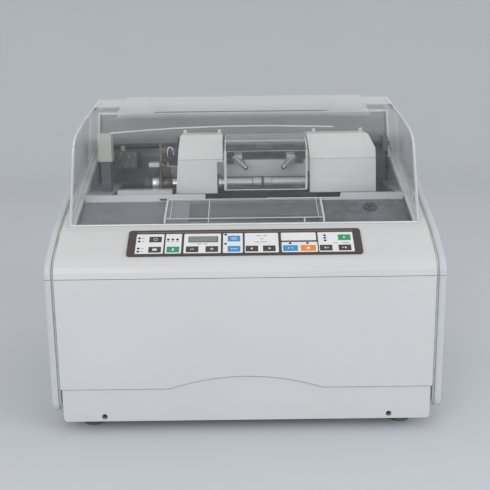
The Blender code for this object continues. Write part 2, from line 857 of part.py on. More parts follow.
def make_base_pan(finish):
    outline = [
        *rounded([
            (PAN_HALF, PAN_TOP - SEAM_GAP, 0),
            (PAN_HALF, PAN_BOTTOM, PAN_EDGE),
            (-PAN_HALF, PAN_BOTTOM, PAN_EDGE),
            (-PAN_HALF, PAN_TOP - SEAM_GAP, 0),
        ]),
        *arch_points(PAN_TOP - SEAM_GAP),
    ]
    pan = plate("base_pan", [outline], "behind", PAN_FRONT, PAN_REAR)
    inner = PAN_HALF - WALL
    hollow = box(
        "pan_hollow",
        (-inner, PAN_FRONT + WALL, PAN_FLOOR),
        (inner, PAN_REAR - WALL, PAN_TOP + ARCH_RISE + OVERRUN),
    )
    behind_arch = box(
        "pan_behind_arch",
        (-PAN_HALF - OVERRUN, PAN_FRONT + WALL, PAN_TOP - SEAM_GAP),
        (PAN_HALF + OVERRUN, PAN_REAR + OVERRUN, PAN_TOP + ARCH_RISE + OVERRUN),
    )
    cut(pan, hollow, behind_arch)
    for side in (-1, 1):
        start = (side * SCREW_X, PAN_FRONT - OVERRUN, SCREW_OVER)
        end = (side * SCREW_X, PAN_FRONT + WALL + FIT, SCREW_OVER)
        cut(pan, rod("pan_screw_hole", start, end, SCREW_HOLE_RADIUS))
    return dress(pan, finish)


def make_front_panel(finish):
    outline = [
        Vector((CASING_HALF, PAN_TOP)),
        Vector((CASING_HALF, -SEAM_GAP)),
        Vector((-CASING_HALF, -SEAM_GAP)),
        Vector((-CASING_HALF, PAN_TOP)),
        *arch_points(PAN_TOP),
    ]
    return dress(plate("front_panel", [outline], "behind", 0, WALL), finish)


def make_side_cover(name, side, finish):
    inner = CASING_HALF + SIDE_GAP
    low, high = sorted((side * inner, side * BODY_WIDTH / 2))
    cover = plate(name, [rounded(body_outline())], "x", low, high, SIDE_EDGE)
    low, high = sorted((side * (CHASSIS_HALF + FIT), side * (inner + SIDE_COVER / 2)))
    boss = box(
        name + "_boss",
        (low, BOSS_BEHIND, BOSS_OVER),
        (high, BOSS_BEHIND + BOSS_SIZE, BOSS_OVER + BOSS_SIZE),
    )
    return dress(join(cover, boss), finish)


def make_top_fascia(finish):
    corners = [(0, 0, 0), *body_outline()[1:4], (BODY_DEPTH - STRIP_REAR, CREST_OVER, 0)]
    outline = band(rounded(corners, closed=False), WALL)
    fascia = plate("top_fascia", [outline], "x", -CASING_HALF, CASING_HALF)
    window_top = CREST_OVER + OVERRUN
    window = box("fascia_window", (-DECK_HALF, WINDOW_FRONT, 0), (DECK_HALF, BODY_DEPTH, window_top))
    return dress(cut(fascia, window), finish)


def make_rubber_feet(finish):
    feet = []
    for side, x in (("left", -FOOT_X), ("right", FOOT_X)):
        for end, behind in (("front", PAN_FRONT + FOOT_INSET), ("rear", PAN_REAR - FOOT_INSET)):
            low = (x, behind, -SEAM_HEIGHT)
            foot = rod(side + "_" + end + "_foot", low, (x, behind, PAN_BOTTOM - FIT), FOOT_RADIUS)
            feet.append(dress(foot, finish))
    return feet


def make_chassis(finish):
    walls = [
        CHASSIS_SETBACK,
        WALL + FIT,
        WALL + FIT,
        WALL + FIT,
        CHASSIS_REAR,
        PAN_FLOOR + FIT - SIDE_BOTTOM,
    ]
    corners = inset(body_outline(), walls)
    corners[0] = (*corners[0][:2], 0)
    corners[-1] = (*corners[-1][:2], 0)
    bore = circle(*GUIDE_AXIS, GUIDE_RADIUS + FIT)
    plates = []
    for side in (-1, 1):
        low, high = sorted((side * CHASSIS_HALF, side * (CHASSIS_HALF - WALL)))
        plates.append(plate("chassis", [rounded(corners), bore], "x", low, high))
    chassis, other = plates
    chassis.name = "chassis"
    half = CHASSIS_HALF - WALL / 2
    front = PAN_FRONT + WALL + FIT
    rear = corners[-1][0] - WALL
    floor = box("chassis_floor", (-half, front + WALL / 2, PAN_FLOOR + 2 * FIT), (half, rear, FLOOR_OVER))
    bottom = PAN_FLOOR + FIT
    flange = box("chassis_flange", (WALL - half, front, bottom), (half - WALL, front + WALL, FLANGE_TOP))
    join(chassis, other, floor, flange)
    for side in (-1, 1):
        start = (side * SCREW_X, front - OVERRUN, SCREW_OVER)
        end = (side * SCREW_X, front + CHASSIS_SETBACK, SCREW_OVER)
        cut(chassis, rod("chassis_screw_hole", start, end, SCREW_SHANK_RADIUS + FIT))
    return dress(chassis, finish)


# Deck

def tray_floor(behind):
    """Height of the front tray's floor at a depth."""
    front = WINDOW_FRONT + FIT
    low = crest(front) - TRAY_DEPTH
    return low + (TRAY_BACK_OVER - low) * (behind - front) / (RIM_BEHIND - front)


def make_deck_tray(finish):
    front = WINDOW_FRONT + FIT + SKIN
    half = DECK_HALF - FIT
    run = [
        Vector((front, crest(front) - FIT)),
        Vector((front, tray_floor(front))),
        Vector((RIM_BEHIND, TRAY_BACK_OVER)),
        Vector((RIM_BEHIND + RIM_SLOPE, SHELF_OVER)),
        Vector((SHELF_REAR, SHELF_OVER)),
    ]
    tray = plate("deck_tray", [band(run, SKIN)], "x", SKIN / 2 - half, half - SKIN / 2)
    rear = HOUSING_FRONT - FIT
    before_rim = RIM_BEHIND - RIM_SLOPE
    cheek = [
        Vector((rear, SHELF_OVER - SKIN / 2)),
        Vector((rear, crest(rear))),
        Vector((LEDGE_REAR, crest(LEDGE_REAR))),
        Vector((RIM_BEHIND + RIM_SLOPE, SHELF_OVER + FIT)),
        Vector((before_rim, crest(before_rim))),
        Vector((front, crest(front))),
        *band(run[:-1], SKIN / 2)[:len(run) - 2:-1],
    ]
    for low, high in ((-half, SKIN - half), (half - SKIN, half)):
        join(tray, plate("tray_cheek", [cheek], "x", low, high))
    work_hole = box(
        "tray_work_hole",
        (WORK_LEFT, SHELF_FRONT, SHELF_OVER - SKIN - OVERRUN),
        (WORK_RIGHT, SHELF_REAR + OVERRUN, SHELF_OVER + OVERRUN),
    )
    drain = box("tray_drain", (DRAIN_LEFT, DRAIN_FRONT, SUMP_BOTTOM), (DRAIN_RIGHT, DRAIN_REAR, SHELF_OVER))
    ledge = box(
        "tray_ledge",
        (LEDGE_LEFT, RIM_BEHIND + 2 * RIM_SLOPE, SHELF_OVER - SKIN),
        (LEDGE_RIGHT, LEDGE_REAR, LEDGE_OVER),
    )
    notch = box(
        "tray_rim_notch",
        (RIM_NOTCH_LEFT, RIM_BEHIND - RIM_SLOPE, RIM_NOTCH_OVER),
        (RIM_NOTCH_RIGHT, SHELF_FRONT + OVERRUN, SHELF_OVER + OVERRUN),
    )
    sill_top = RIM_NOTCH_OVER - 2 * FIT
    sill = box(
        "tray_sill",
        (RIM_NOTCH_LEFT - WALL, RIM_BEHIND - FIT, sill_top - WALL),
        (RIM_NOTCH_RIGHT + WALL, SHELF_FRONT - 2 * FIT, sill_top),
    )
    cut(tray, work_hole, drain, notch)
    return dress(join(tray, ledge, sill), finish)


def make_splash_flap(finish):
    foot = FIT
    corners = [
        (FLAP_FRONT, tray_floor(FLAP_FRONT) + foot, 0),
        (FLAP_FRONT + FLAP_LEAN, tray_floor(FLAP_FRONT) + FLAP_LIFT, FLAP_LIFT / 3),
        (FLAP_REAR, tray_floor(FLAP_REAR) + FLAP_REAR_LIFT, 0),
        (FLAP_REAR, tray_floor(FLAP_REAR) + foot, 0),
    ]
    flap = plate("splash_flap", [rounded(corners)], "x", FLAP_LEFT, FLAP_RIGHT)
    inner = inset(corners, [FLAP_WALL, FLAP_WALL, FLAP_WALL, -OVERRUN])
    hollow = plate("flap_hollow", [rounded(inner)], "x", FLAP_LEFT + FLAP_WALL, FLAP_RIGHT - FLAP_WALL)
    return dress(cut(flap, hollow), finish)


def make_grinding_basin(finish):
    left = WORK_LEFT + FIT
    right = WORK_RIGHT - FIT
    front = SHELF_FRONT - FIT
    rear = SHELF_REAR - FIT
    basin = box("grinding_basin", (left, front, BASIN_FLOOR), (right, rear, BASIN_TOP))
    flange = box(
        "basin_flange",
        (left - BASIN_FLANGE, front, BASIN_TOP - WALL),
        (right + BASIN_FLANGE, rear, BASIN_TOP),
    )
    pit = box("basin_pit", (PIT_LEFT, PIT_FRONT, PIT_BOTTOM), (PIT_RIGHT, PIT_REAR, BASIN_FLOOR + 2 * WALL))
    sump = box("basin_sump", (SUMP_LEFT, SUMP_FRONT, SUMP_BOTTOM), (SUMP_RIGHT, SUMP_REAR, SUMP_TOP))
    join(basin, flange, pit, sump)
    bowl = box(
        "basin_bowl",
        (left + WALL, front + WALL, BASIN_FLOOR + WALL),
        (right - WALL, rear - WALL, BASIN_TOP + OVERRUN),
    )
    rear_notch = box(
        "basin_rear_notch",
        (left + WALL, rear - BASIN_NOTCH, BASIN_REAR_TOP),
        (right - WALL, rear + OVERRUN, BASIN_TOP + OVERRUN),
    )
    front_notch = box(
        "basin_front_notch",
        (RIM_NOTCH_LEFT, front - OVERRUN, RIM_NOTCH_OVER - 2 * WALL),
        (RIM_NOTCH_RIGHT, front + WALL + OVERRUN, BASIN_TOP + OVERRUN),
    )
    well = box(
        "basin_well",
        (PIT_LEFT + WALL, PIT_FRONT + WALL, PIT_BOTTOM + WALL),
        (PIT_RIGHT - WALL, PIT_REAR - WALL, BASIN_FLOOR + WALL),
    )
    channel = box(
        "basin_channel",
        (SUMP_LEFT + WALL, SUMP_FRONT + WALL, SUMP_BOTTOM + WALL),
        (SUMP_RIGHT - WALL, SUMP_REAR - WALL, SUMP_TOP + FIT),
    )
    drop = box(
        "basin_drop",
        (PIT_LEFT + WALL, PIT_FRONT + WALL, BASIN_FLOOR),
        (PIT_RIGHT - WALL, rear - WALL, BASIN_FLOOR + 2 * WALL),
    )
    spindle_hole = rod_x("basin_spindle_hole", PIT_RIGHT - 2 * WALL, PIT_RIGHT + WALL, SPINDLE_AXIS,
                         SPINDLE_RADIUS + SEAM_GAP)
    stem_x = (REST_LEFT + REST_RIGHT) / 2
    stem_behind = (REST_FRONT + REST_REAR) / 2
    stem_hole = rod(
        "basin_stem_hole",
        (stem_x, stem_behind, BASIN_FLOOR - WALL),
        (stem_x, stem_behind, BASIN_FLOOR + 2 * WALL),
        REST_STEM_RADIUS + FIT,
    )
    cut(basin, bowl, rear_notch, front_notch, well, channel, drop, spindle_hole, stem_hole)
    return dress(basin, finish)


# Rear of the casing

def vent_slots():
    """Outlines of the cooling slots in the rear wall."""
    slots = []
    for side in (-1, 1):
        for row in range(VENT_ROWS):
            middle = VENT_OVER + row * VENT_PITCH
            left = side * VENT_X - VENT_LENGTH / 2
            slots.append(oblong(left, left + VENT_LENGTH, middle - VENT_HEIGHT / 2, middle + VENT_HEIGHT / 2))
    return slots


def make_rear_housing(finish):
    rear = BACK_WALL_BEHIND + WALL
    corners = [
        (HOUSING_FRONT, HOUSING_FOOT, 0),
        (HOUSING_FRONT + HOUSING_LEAN, HOUSING_BROW, 0),
        (HOUSING_BEND, HOUSING_TOP, 0),
        (rear, HOUSING_TOP, HOUSING_CORNER),
        (rear, HOUSING_FOOT, 0),
    ]
    housing = plate("rear_housing", [rounded(corners)], "x", -HOUSING_HALF, HOUSING_HALF)
    inner = inset(corners, [-2 * OVERRUN, WALL, WALL, WALL, -2 * OVERRUN])
    hollow = plate("housing_hollow", [rounded(inner)], "x", WALL - HOUSING_HALF, HOUSING_HALF - WALL)
    cut(housing, hollow)
    half = CASING_HALF - SEAM_GAP
    inlet = oblong(
        INLET_X - INLET_WIDTH / 2 + WALL - FIT,
        INLET_X + INLET_WIDTH / 2 - WALL + FIT,
        INLET_OVER - INLET_HEIGHT / 2 + WALL - FIT,
        INLET_OVER + INLET_HEIGHT / 2 - WALL + FIT,
    )
    holes = [circle(x, HOSE_OVER, HOSE_RADIUS + FIT) for x in HOSE_X]
    wall = plate(
        "housing_wall",
        [oblong(-half, half, PAN_TOP + SEAM_GAP, CREST_OVER - WALL - FIT), inlet, *holes, *vent_slots()],
        "behind",
        BACK_WALL_BEHIND,
        rear,
    )
    return dress(join(housing, wall), finish)


def back_panel_path():
    """Run of the dark panel behind the head, from its foot to its top."""
    top_behind = BACK_PANEL_FRONT + BACK_PANEL_LEAN
    return [
        Vector((BACK_PANEL_FRONT, SHELF_OVER + WALL / 2)),
        Vector((BACK_PANEL_FRONT, BACK_PANEL_BEND)),
        Vector((top_behind, BACK_PANEL_TOP)),
    ]


def make_inner_back_panel(finish):
    outline = band(back_panel_path(), BACK_PANEL_WALL)
    panel = plate("inner_back_panel", [outline], "x", -BACK_PANEL_HALF, BACK_PANEL_HALF)
    notch = box(
        "back_panel_notch",
        (NOTCH_LEFT, BACK_PANEL_FRONT - OVERRUN, SHELF_OVER - OVERRUN),
        (NOTCH_RIGHT, BACK_PANEL_FRONT + BACK_PANEL_LEAN, NOTCH_TOP),
    )
    cut(panel, notch)
    for side in (-1, 1):
        low, high = sorted((side * BACK_PANEL_HALF, side * (BACK_PANEL_HALF - LUG_WIDTH)))
        lug = box("back_panel_lug", (low, LUG_FRONT, LUG_LOW), (high, LUG_REAR, LUG_HIGH))
        join(panel, lug)
        low, high = low - OVERRUN, high + OVERRUN
        cut(panel, rod_x("back_panel_bore", low, high, TRAVERSE_AXIS, TRAVERSE_RADIUS + FIT))
    return dress(panel, finish)


# Hood

def roof(behind):
    """Height of the hood's roof over the seam, at a depth."""
    slope = (HOOD_REAR_OVER - HOOD_BEND_OVER) / (HOOD_REAR - HOOD_BEND_BEHIND)
    return HOOD_BEND_OVER + slope * (behind - HOOD_BEND_BEHIND)


def make_hood(finish):
    corners = [
        (HOOD_FRONT, crest(HOOD_FRONT) + HOOD_GAP, 0),
        (HOOD_BROW_BEHIND, HOOD_BROW_OVER, HOOD_BROW_RADIUS),
        (HOOD_BEND_BEHIND, HOOD_BEND_OVER, HOOD_WALL),
        (HOOD_REAR, HOOD_REAR_OVER, 0),
        (HOOD_FOOT_REAR, CREST_OVER + HOOD_GAP, 0),
    ]
    hood = plate("hood", [rounded(corners)], "x", -HOOD_HALF, HOOD_HALF)
    inner = inset(corners, [HOOD_WALL, HOOD_WALL, HOOD_WALL, -OVERRUN, -OVERRUN])
    hollow = plate("hood_hollow", [rounded(inner)], "x", HOOD_WALL - HOOD_HALF, HOOD_HALF - HOOD_WALL)
    ridge_corners = [
        (RIDGE_FRONT, roof(RIDGE_FRONT) - HOOD_WALL / 2, 0),
        (RIDGE_FRONT + RIDGE_HEIGHT, roof(RIDGE_FRONT) + RIDGE_HEIGHT, 0),
        (RIDGE_REAR, roof(RIDGE_REAR) + RIDGE_HEIGHT, 0),
        (RIDGE_REAR, roof(RIDGE_REAR) - HOOD_WALL / 2, 0),
    ]
    ridge = plate("hood_ridge", [rounded(ridge_corners)], "x", -RIDGE_HALF, RIDGE_HALF)
    ridge_inner = inset(ridge_corners, [HOOD_WALL, HOOD_WALL, HOOD_WALL, -OVERRUN])
    ridge_half = RIDGE_HALF - HOOD_WALL
    ridge_hollow = plate("ridge_hollow", [rounded(ridge_inner)], "x", -ridge_half, ridge_half)
    join(hood, ridge)
    cut(hood, hollow, ridge_hollow)
    for side in (-1, 1):
        low = side * HINGE_X - HINGE_LENGTH / 3
        high = side * HINGE_X + HINGE_LENGTH / 3
        web = box(
            "hood_web",
            (low, HINGE_BEHIND - KNUCKLE_RADIUS / 2, HINGE_OVER),
            (high, HINGE_BEHIND + KNUCKLE_RADIUS / 2, roof(HINGE_BEHIND) - HOOD_WALL / 2),
        )
        knuckle = rod_x("hood_knuckle", low, high, HINGE_AXIS, KNUCKLE_RADIUS, ROUND_SIDES // 2)
        low -= OVERRUN
        high += OVERRUN
        bore = rod_x("hood_bore", low, high, HINGE_AXIS, HINGE_PIN_RADIUS + FIT, ROUND_SIDES // 2)
        join(hood, web, knuckle)
        cut(hood, bore)
    return dress(hood, finish)


def make_hood_hinge(finish):
    seat = HOUSING_TOP + FIT
    inner = HINGE_LENGTH / 3 + FIT
    outer = HINGE_LENGTH / 2
    front = HINGE_BEHIND - KNUCKLE_RADIUS
    strip_front = HINGE_BEHIND + KNUCKLE_RADIUS + FIT
    strip_rear = HINGE_BEHIND + 3 * KNUCKLE_RADIUS
    tabs = []
    for middle in (-HINGE_X, HINGE_X):
        tabs += [(middle - outer, middle - inner), (middle + inner, middle + outer)]
    edge = []
    for low, high in tabs:
        edge += [(low, strip_front), (low, front), (high, front), (high, strip_front)]
    outline = [(-HINGE_X - outer, strip_rear)] + edge[1:-1] + [(HINGE_X + outer, strip_rear)]
    hinge = plate("hood_hinge", [outline], "over", seat, seat + HINGE_PLATE)
    for low, high in tabs:
        low += FIT
        high -= FIT
        lug_front = (low, HINGE_BEHIND - KNUCKLE_RADIUS + FIT, seat + HINGE_PLATE / 2)
        lug = box("hinge_lug", lug_front, (high, HINGE_BEHIND + KNUCKLE_RADIUS - FIT, HINGE_OVER))
        cap = rod_x("hinge_cap", low, high, HINGE_AXIS, KNUCKLE_RADIUS, ROUND_SIDES // 2)
        join(hinge, lug, cap)
    for middle in (-HINGE_X, HINGE_X):
        low = middle - outer + 2 * FIT
        high = middle + outer - 2 * FIT
        join(hinge, rod_x("hinge_pin", low, high, HINGE_AXIS, HINGE_PIN_RADIUS, ROUND_SIDES // 2))
    return dress(hinge, finish)


# Keypad

def panel_plane(x=0, up=0, out=0):
    """Matrix of a spot on the keypad's slope: across, up the slope and out from its surface."""
    slope = math.atan2(PANEL_OVER - NOSE_HEIGHT, PANEL_BEHIND)
    run = math.hypot(PANEL_OVER - NOSE_HEIGHT, PANEL_BEHIND)
    edge = NOSE_RADIUS * math.tan((math.pi / 2 - slope) / 2)
    middle = (edge + run) / 2
    spot = place(0, middle * math.cos(slope), NOSE_HEIGHT + middle * math.sin(slope))
    return Matrix.Translation(spot) @ Matrix.Rotation(slope, 4, "X") @ Matrix.Translation((x, up, out))


def key_places():
    """Name, x, height up the slope and colour of each key."""
    places = []
    for name, share, colour in TOP_ROW_SHARES:
        places.append((name, share * OVERLAY_WIDTH, ROW_TOP, colour))
    for name, share, colour in BOTTOM_ROW_SHARES:
        places.append((name, share * OVERLAY_WIDTH, ROW_BOTTOM, colour))
    return places


def key_outline(name, grow=0):
    """Outline of a key, or of its hole when it grows by a gap."""
    width = WIDE_KEY_WIDTH if name in WIDE_KEYS else KEY_WIDTH
    half_width = width / 2 + grow
    half_height = KEY_HEIGHT / 2 + grow
    return oblong(-half_width, half_width, -half_height, half_height, KEY_CORNER)


def make_keypad_overlay(finish):
    half_width = OVERLAY_WIDTH / 2
    half_height = OVERLAY_HEIGHT / 2
    outlines = [oblong(-half_width, half_width, -half_height, half_height, OVERLAY_CORNER)]
    for name, x, up, colour in key_places():
        outlines.append([point + Vector((x, up)) for point in key_outline(name, FIT)])
    middle = FIT + OVERLAY_THICK / 2
    return dress(outline_solid("keypad_overlay", outlines, OVERLAY_THICK, panel_plane(0, 0, middle)), finish)


def make_keys(finishes):
    keys = []
    for name, x, up, colour in key_places():
        middle = (KEY_BOTTOM + KEY_TOP) / 2
        key = outline_solid(name, [key_outline(name)], KEY_TOP - KEY_BOTTOM, panel_plane(x, up, middle))
        keys.append(dress(key, finishes[colour]))
    return keys


# Head

def make_guide_shaft(finish):
    return dress(rod_x("guide_shaft", -GUIDE_END, GUIDE_END, GUIDE_AXIS, GUIDE_RADIUS), finish)


def make_traverse_screw(finish):
    return dress(rod_x("traverse_screw", -TRAVERSE_END, TRAVERSE_END, TRAVERSE_AXIS, TRAVERSE_RADIUS), finish)


def make_saddle(finish):
    stations = [(SADDLE_RIGHT, SADDLE_RADIUS), (SADDLE_LEFT, SADDLE_RADIUS)]
    saddle = turned("saddle", stations, place(0, *GUIDE_AXIS), bore=GUIDE_RADIUS + FIT)
    neck_low = GUIDE_OVER + GUIDE_RADIUS + WALL
    nut_high = NUT_LOW + 2 * (TRAVERSE_OVER - NUT_LOW)
    neck = box("saddle_neck", (NUT_LEFT, NUT_REAR - SADDLE_RADIUS, neck_low), (NUT_RIGHT, NUT_REAR, nut_high))
    arm = box("saddle_arm", (NUT_LEFT, NUT_FRONT, NUT_LOW), (NUT_RIGHT, NUT_REAR, nut_high))
    join(saddle, neck, arm)
    low = NUT_LEFT - OVERRUN
    bore = rod_x("saddle_nut_bore", low, NUT_RIGHT + OVERRUN, TRAVERSE_AXIS, TRAVERSE_RADIUS + FIT)
    return dress(cut(saddle, bore), finish)


def make_head_yoke(finish):
    outline = hull(circle(*GUIDE_AXIS, YOKE_PIVOT_RADIUS), circle(*LENS_AXIS, YOKE_LENS_RADIUS))
    pivot_bore = circle(*GUIDE_AXIS, GUIDE_RADIUS + FIT)
    drive_bore = circle(*LENS_AXIS, SHAFT_ARM_RADIUS + FIT)
    quill_bore = circle(*LENS_AXIS, QUILL_RADIUS + FIT)
    yoke = plate("head_yoke", [outline, pivot_bore, drive_bore], "x", ARM_LEFT, ARM_LEFT + ARM_WIDTH)
    right = plate("yoke_right_arm", [outline, pivot_bore, quill_bore], "x", BOSS_LEFT, BOSS_LEFT + ARM_WIDTH)
    boss = turned(
        "yoke_boss",
        [(BOSS_RIGHT, YOKE_LENS_RADIUS), (BOSS_LEFT + WALL, YOKE_LENS_RADIUS)],
        place(0, *LENS_AXIS),
        bore=QUILL_RADIUS + FIT,
    )
    beam_left = ARM_LEFT + ARM_WIDTH - WALL
    beam = box("yoke_beam", (beam_left, BEAM_FRONT, BEAM_LOW), (BOSS_LEFT + WALL, BEAM_REAR, BEAM_HIGH))
    tail = box("yoke_tail", (TAIL_LEFT, BEAM_FRONT, BEAM_LOW), (ARM_LEFT + WALL, BEAM_REAR, TAIL_HIGH))
    join(yoke, right, boss, beam, tail)
    block_front = NOZZLE_BEHIND + BARREL_RADIUS + FIT
    for x in NOZZLE_X:
        low = (x - BLOCK_WIDTH / 2, block_front, BEAM_HIGH - WALL)
        join(yoke, box("yoke_block", low, (x + BLOCK_WIDTH / 2, BEAM_REAR - WALL, BLOCK_HIGH)))
    return dress(yoke, finish)


def cover_side(wall=0):
    """Side outline of a head cover, or of its hollow, which is open at the rear and the foot."""
    corners = [
        (COVER_FRONT, COVER_FOOT, 0),
        (COVER_FRONT, COVER_BAND, 0),
        (COVER_FRONT + COVER_LEAN, COVER_FOLD, 0),
        (COVER_FRONT + COVER_SETBACK, COVER_TOP, COVER_CORNER),
        (COVER_REAR, COVER_TOP, 0),
        (COVER_REAR, COVER_FOOT, 0),
    ]
    if wall:
        corners = inset(corners, [wall, wall, wall, wall, -OVERRUN, -OVERRUN])
    return rounded(corners)


def head_cover(name, corners, walls, finish):
    """Shell whose front outline and side outline are both given, open at the rear and the foot."""
    cover = plate(name, [rounded(corners)], "behind", COVER_FRONT - OVERRUN, COVER_REAR + OVERRUN)
    wide = BODY_WIDTH / 2
    keep(cover, plate(name + "_side", [cover_side()], "x", -wide, wide))
    inner = rounded(inset(corners, walls))
    hollow = plate(name + "_hollow", [inner], "behind", COVER_FRONT - OVERRUN, COVER_REAR + 2 * OVERRUN)
    keep(hollow, plate(name + "_hollow_side", [cover_side(SKIN)], "x", -wide, wide))
    return dress(cut(cover, settle(hollow)), finish)


def make_left_head_cover(finish):
    step = LEFT_COVER_RIGHT - LEFT_COVER_STEP
    corners = [
        (LEFT_COVER_FOOT, COVER_FOOT, 0),
        (LEFT_COVER_TOP, COVER_TOP, COVER_CORNER),
        (LEFT_COVER_RIGHT, COVER_TOP, COVER_CORNER),
        (LEFT_COVER_RIGHT, LEFT_COVER_NOTCH, 0),
        (step, LEFT_COVER_NOTCH, 0),
        (step, COVER_FOOT, 0),
    ]
    cover = head_cover("left_head_cover", corners, [SKIN, SKIN, SKIN, SKIN, SKIN, -OVERRUN], finish)
    low = LEFT_COVER_FOOT - OVERRUN
    drive_hole = rod_x("left_cover_hole", low, ARM_LEFT, LENS_AXIS, SHAFT_ARM_RADIUS + FIT)
    seal_hole = rod_x("left_cover_seal_hole", step - 2 * SKIN, step + SKIN, LENS_AXIS, COLLAR_RADIUS + FIT)
    return cut(cover, drive_hole, seal_hole)


def make_right_head_cover(finish):
    corners = [
        (RIGHT_COVER_LEFT, COVER_FOOT, 0),
        (RIGHT_COVER_LEFT, LEFT_COVER_NOTCH, 0),
        (RIGHT_COVER_TOP_LEFT, COVER_TOP, COVER_CORNER),
        (RIGHT_COVER_TOP_RIGHT, COVER_TOP, COVER_CORNER),
        (RIGHT_COVER_SHOULDER, COVER_FOLD, 0),
        (RIGHT_COVER_FOOT, COVER_FOOT, 0),
    ]
    cover = head_cover("right_head_cover", corners, [SKIN, SKIN, SKIN, SKIN, SKIN, -OVERRUN], finish)
    low = RIGHT_COVER_TOP_LEFT - OVERRUN
    hole = rod_x("right_cover_hole", low, BOSS_LEFT, LENS_AXIS, QUILL_RADIUS + SEAM_GAP)
    return cut(cover, hole)


def make_lens_guard(finish):
    corners = [
        (GUARD_FRONT, GUARD_FOOT, 0),
        (GUARD_FRONT, GUARD_SHOULDER, HOOD_BROW_RADIUS / 4),
        (GUARD_TOP_FRONT, GUARD_BROW, HOOD_BROW_RADIUS / 4),
        (GUARD_TOP_REAR, GUARD_TOP, COVER_CORNER),
        (GUARD_REAR, GUARD_REAR_OVER, COVER_CORNER),
        (GUARD_REAR, GUARD_REAR_FOOT, 0),
    ]
    outline = band(rounded(corners, closed=False), SKIN)
    guard = plate("lens_guard", [outline], "x", GUARD_LEFT, GUARD_RIGHT)
    opening = box(
        "guard_opening",
        (GUARD_CUT_LEFT, GUARD_TOP_REAR + GUARD_TAB, GUARD_REAR_FOOT - OVERRUN),
        (GUARD_CUT_RIGHT, GUARD_REAR + OVERRUN, GUARD_REAR_OVER - GUARD_TAB),
    )
    return dress(cut(guard, opening), finish)


# Lens shafts

def make_drive_shaft(finish):
    seal_neck = ARM_LEFT - FIT
    stations = [
        (PAD_LEFT - FIT, LENS_BLOCK_RADIUS),
        (LENS_BLOCK_LEFT, LENS_BLOCK_RADIUS),
        (LENS_BLOCK_LEFT, SHAFT_RADIUS),
        (SEAL_RIGHT, SHAFT_RADIUS),
        (SEAL_RIGHT, COLLAR_RADIUS),
        (SEAL_LEFT, COLLAR_RADIUS),
        (SEAL_LEFT, SHAFT_ARM_RADIUS),
        (seal_neck, SHAFT_ARM_RADIUS),
        (seal_neck, SHAFT_RADIUS),
        (INNER_COLLAR_RIGHT, SHAFT_RADIUS),
        (INNER_COLLAR_RIGHT, COLLAR_SMALL_RADIUS),
        (INNER_COLLAR_LEFT, COLLAR_SMALL_RADIUS),
        (INNER_COLLAR_LEFT, SHAFT_RADIUS),
        (OUTER_COLLAR_RIGHT, SHAFT_RADIUS),
        (OUTER_COLLAR_RIGHT, COLLAR_RADIUS),
        (OUTER_COLLAR_LEFT, COLLAR_RADIUS),
        (OUTER_COLLAR_LEFT, STUB_RADIUS),
        (DRIVE_END, STUB_RADIUS),
    ]
    return dress(turned("drive_shaft", stations, place(0, *LENS_AXIS)), finish)


def make_pattern_knob(finish):
    stations = [(KNOB_RIGHT, KNOB_RADIUS), (KNOB_LEFT, KNOB_RADIUS)]
    return dress(turned("pattern_knob", stations, place(0, *LENS_AXIS), bore=STUB_RADIUS + FIT), finish)


def make_clamp_quill(finish):
    stations = [(QUILL_RIGHT, QUILL_RADIUS), (QUILL_LEFT, QUILL_RADIUS)]
    return dress(turned("clamp_quill", stations, place(0, *LENS_AXIS), bore=SHAFT_RADIUS + FIT), finish)


def make_clamp_shaft(finish):
    stations = [
        (CLAMP_END, CLAMP_END_RADIUS),
        (QUILL_RIGHT + FIT, CLAMP_END_RADIUS),
        (QUILL_RIGHT + FIT, SHAFT_RADIUS),
        (CLAMP_SHOULDER_RIGHT, SHAFT_RADIUS),
        (CLAMP_SHOULDER_RIGHT, COLLAR_RADIUS),
        (CLAMP_SHOULDER_LEFT, COLLAR_RADIUS),
        (CLAMP_SHOULDER_LEFT, SHAFT_RADIUS),
        (CLAMP_NOSE, SHAFT_RADIUS),
        (CLAMP_NOSE, LENS_BLOCK_RADIUS),
        (PAD_RIGHT + FIT, LENS_BLOCK_RADIUS),
    ]
    return dress(turned("clamp_shaft", stations, place(0, *LENS_AXIS)), finish)


def make_lens_pad(finish):
    return dress(rod_x("lens_pad", PAD_LEFT, PAD_RIGHT, LENS_AXIS, PAD_RADIUS), finish)


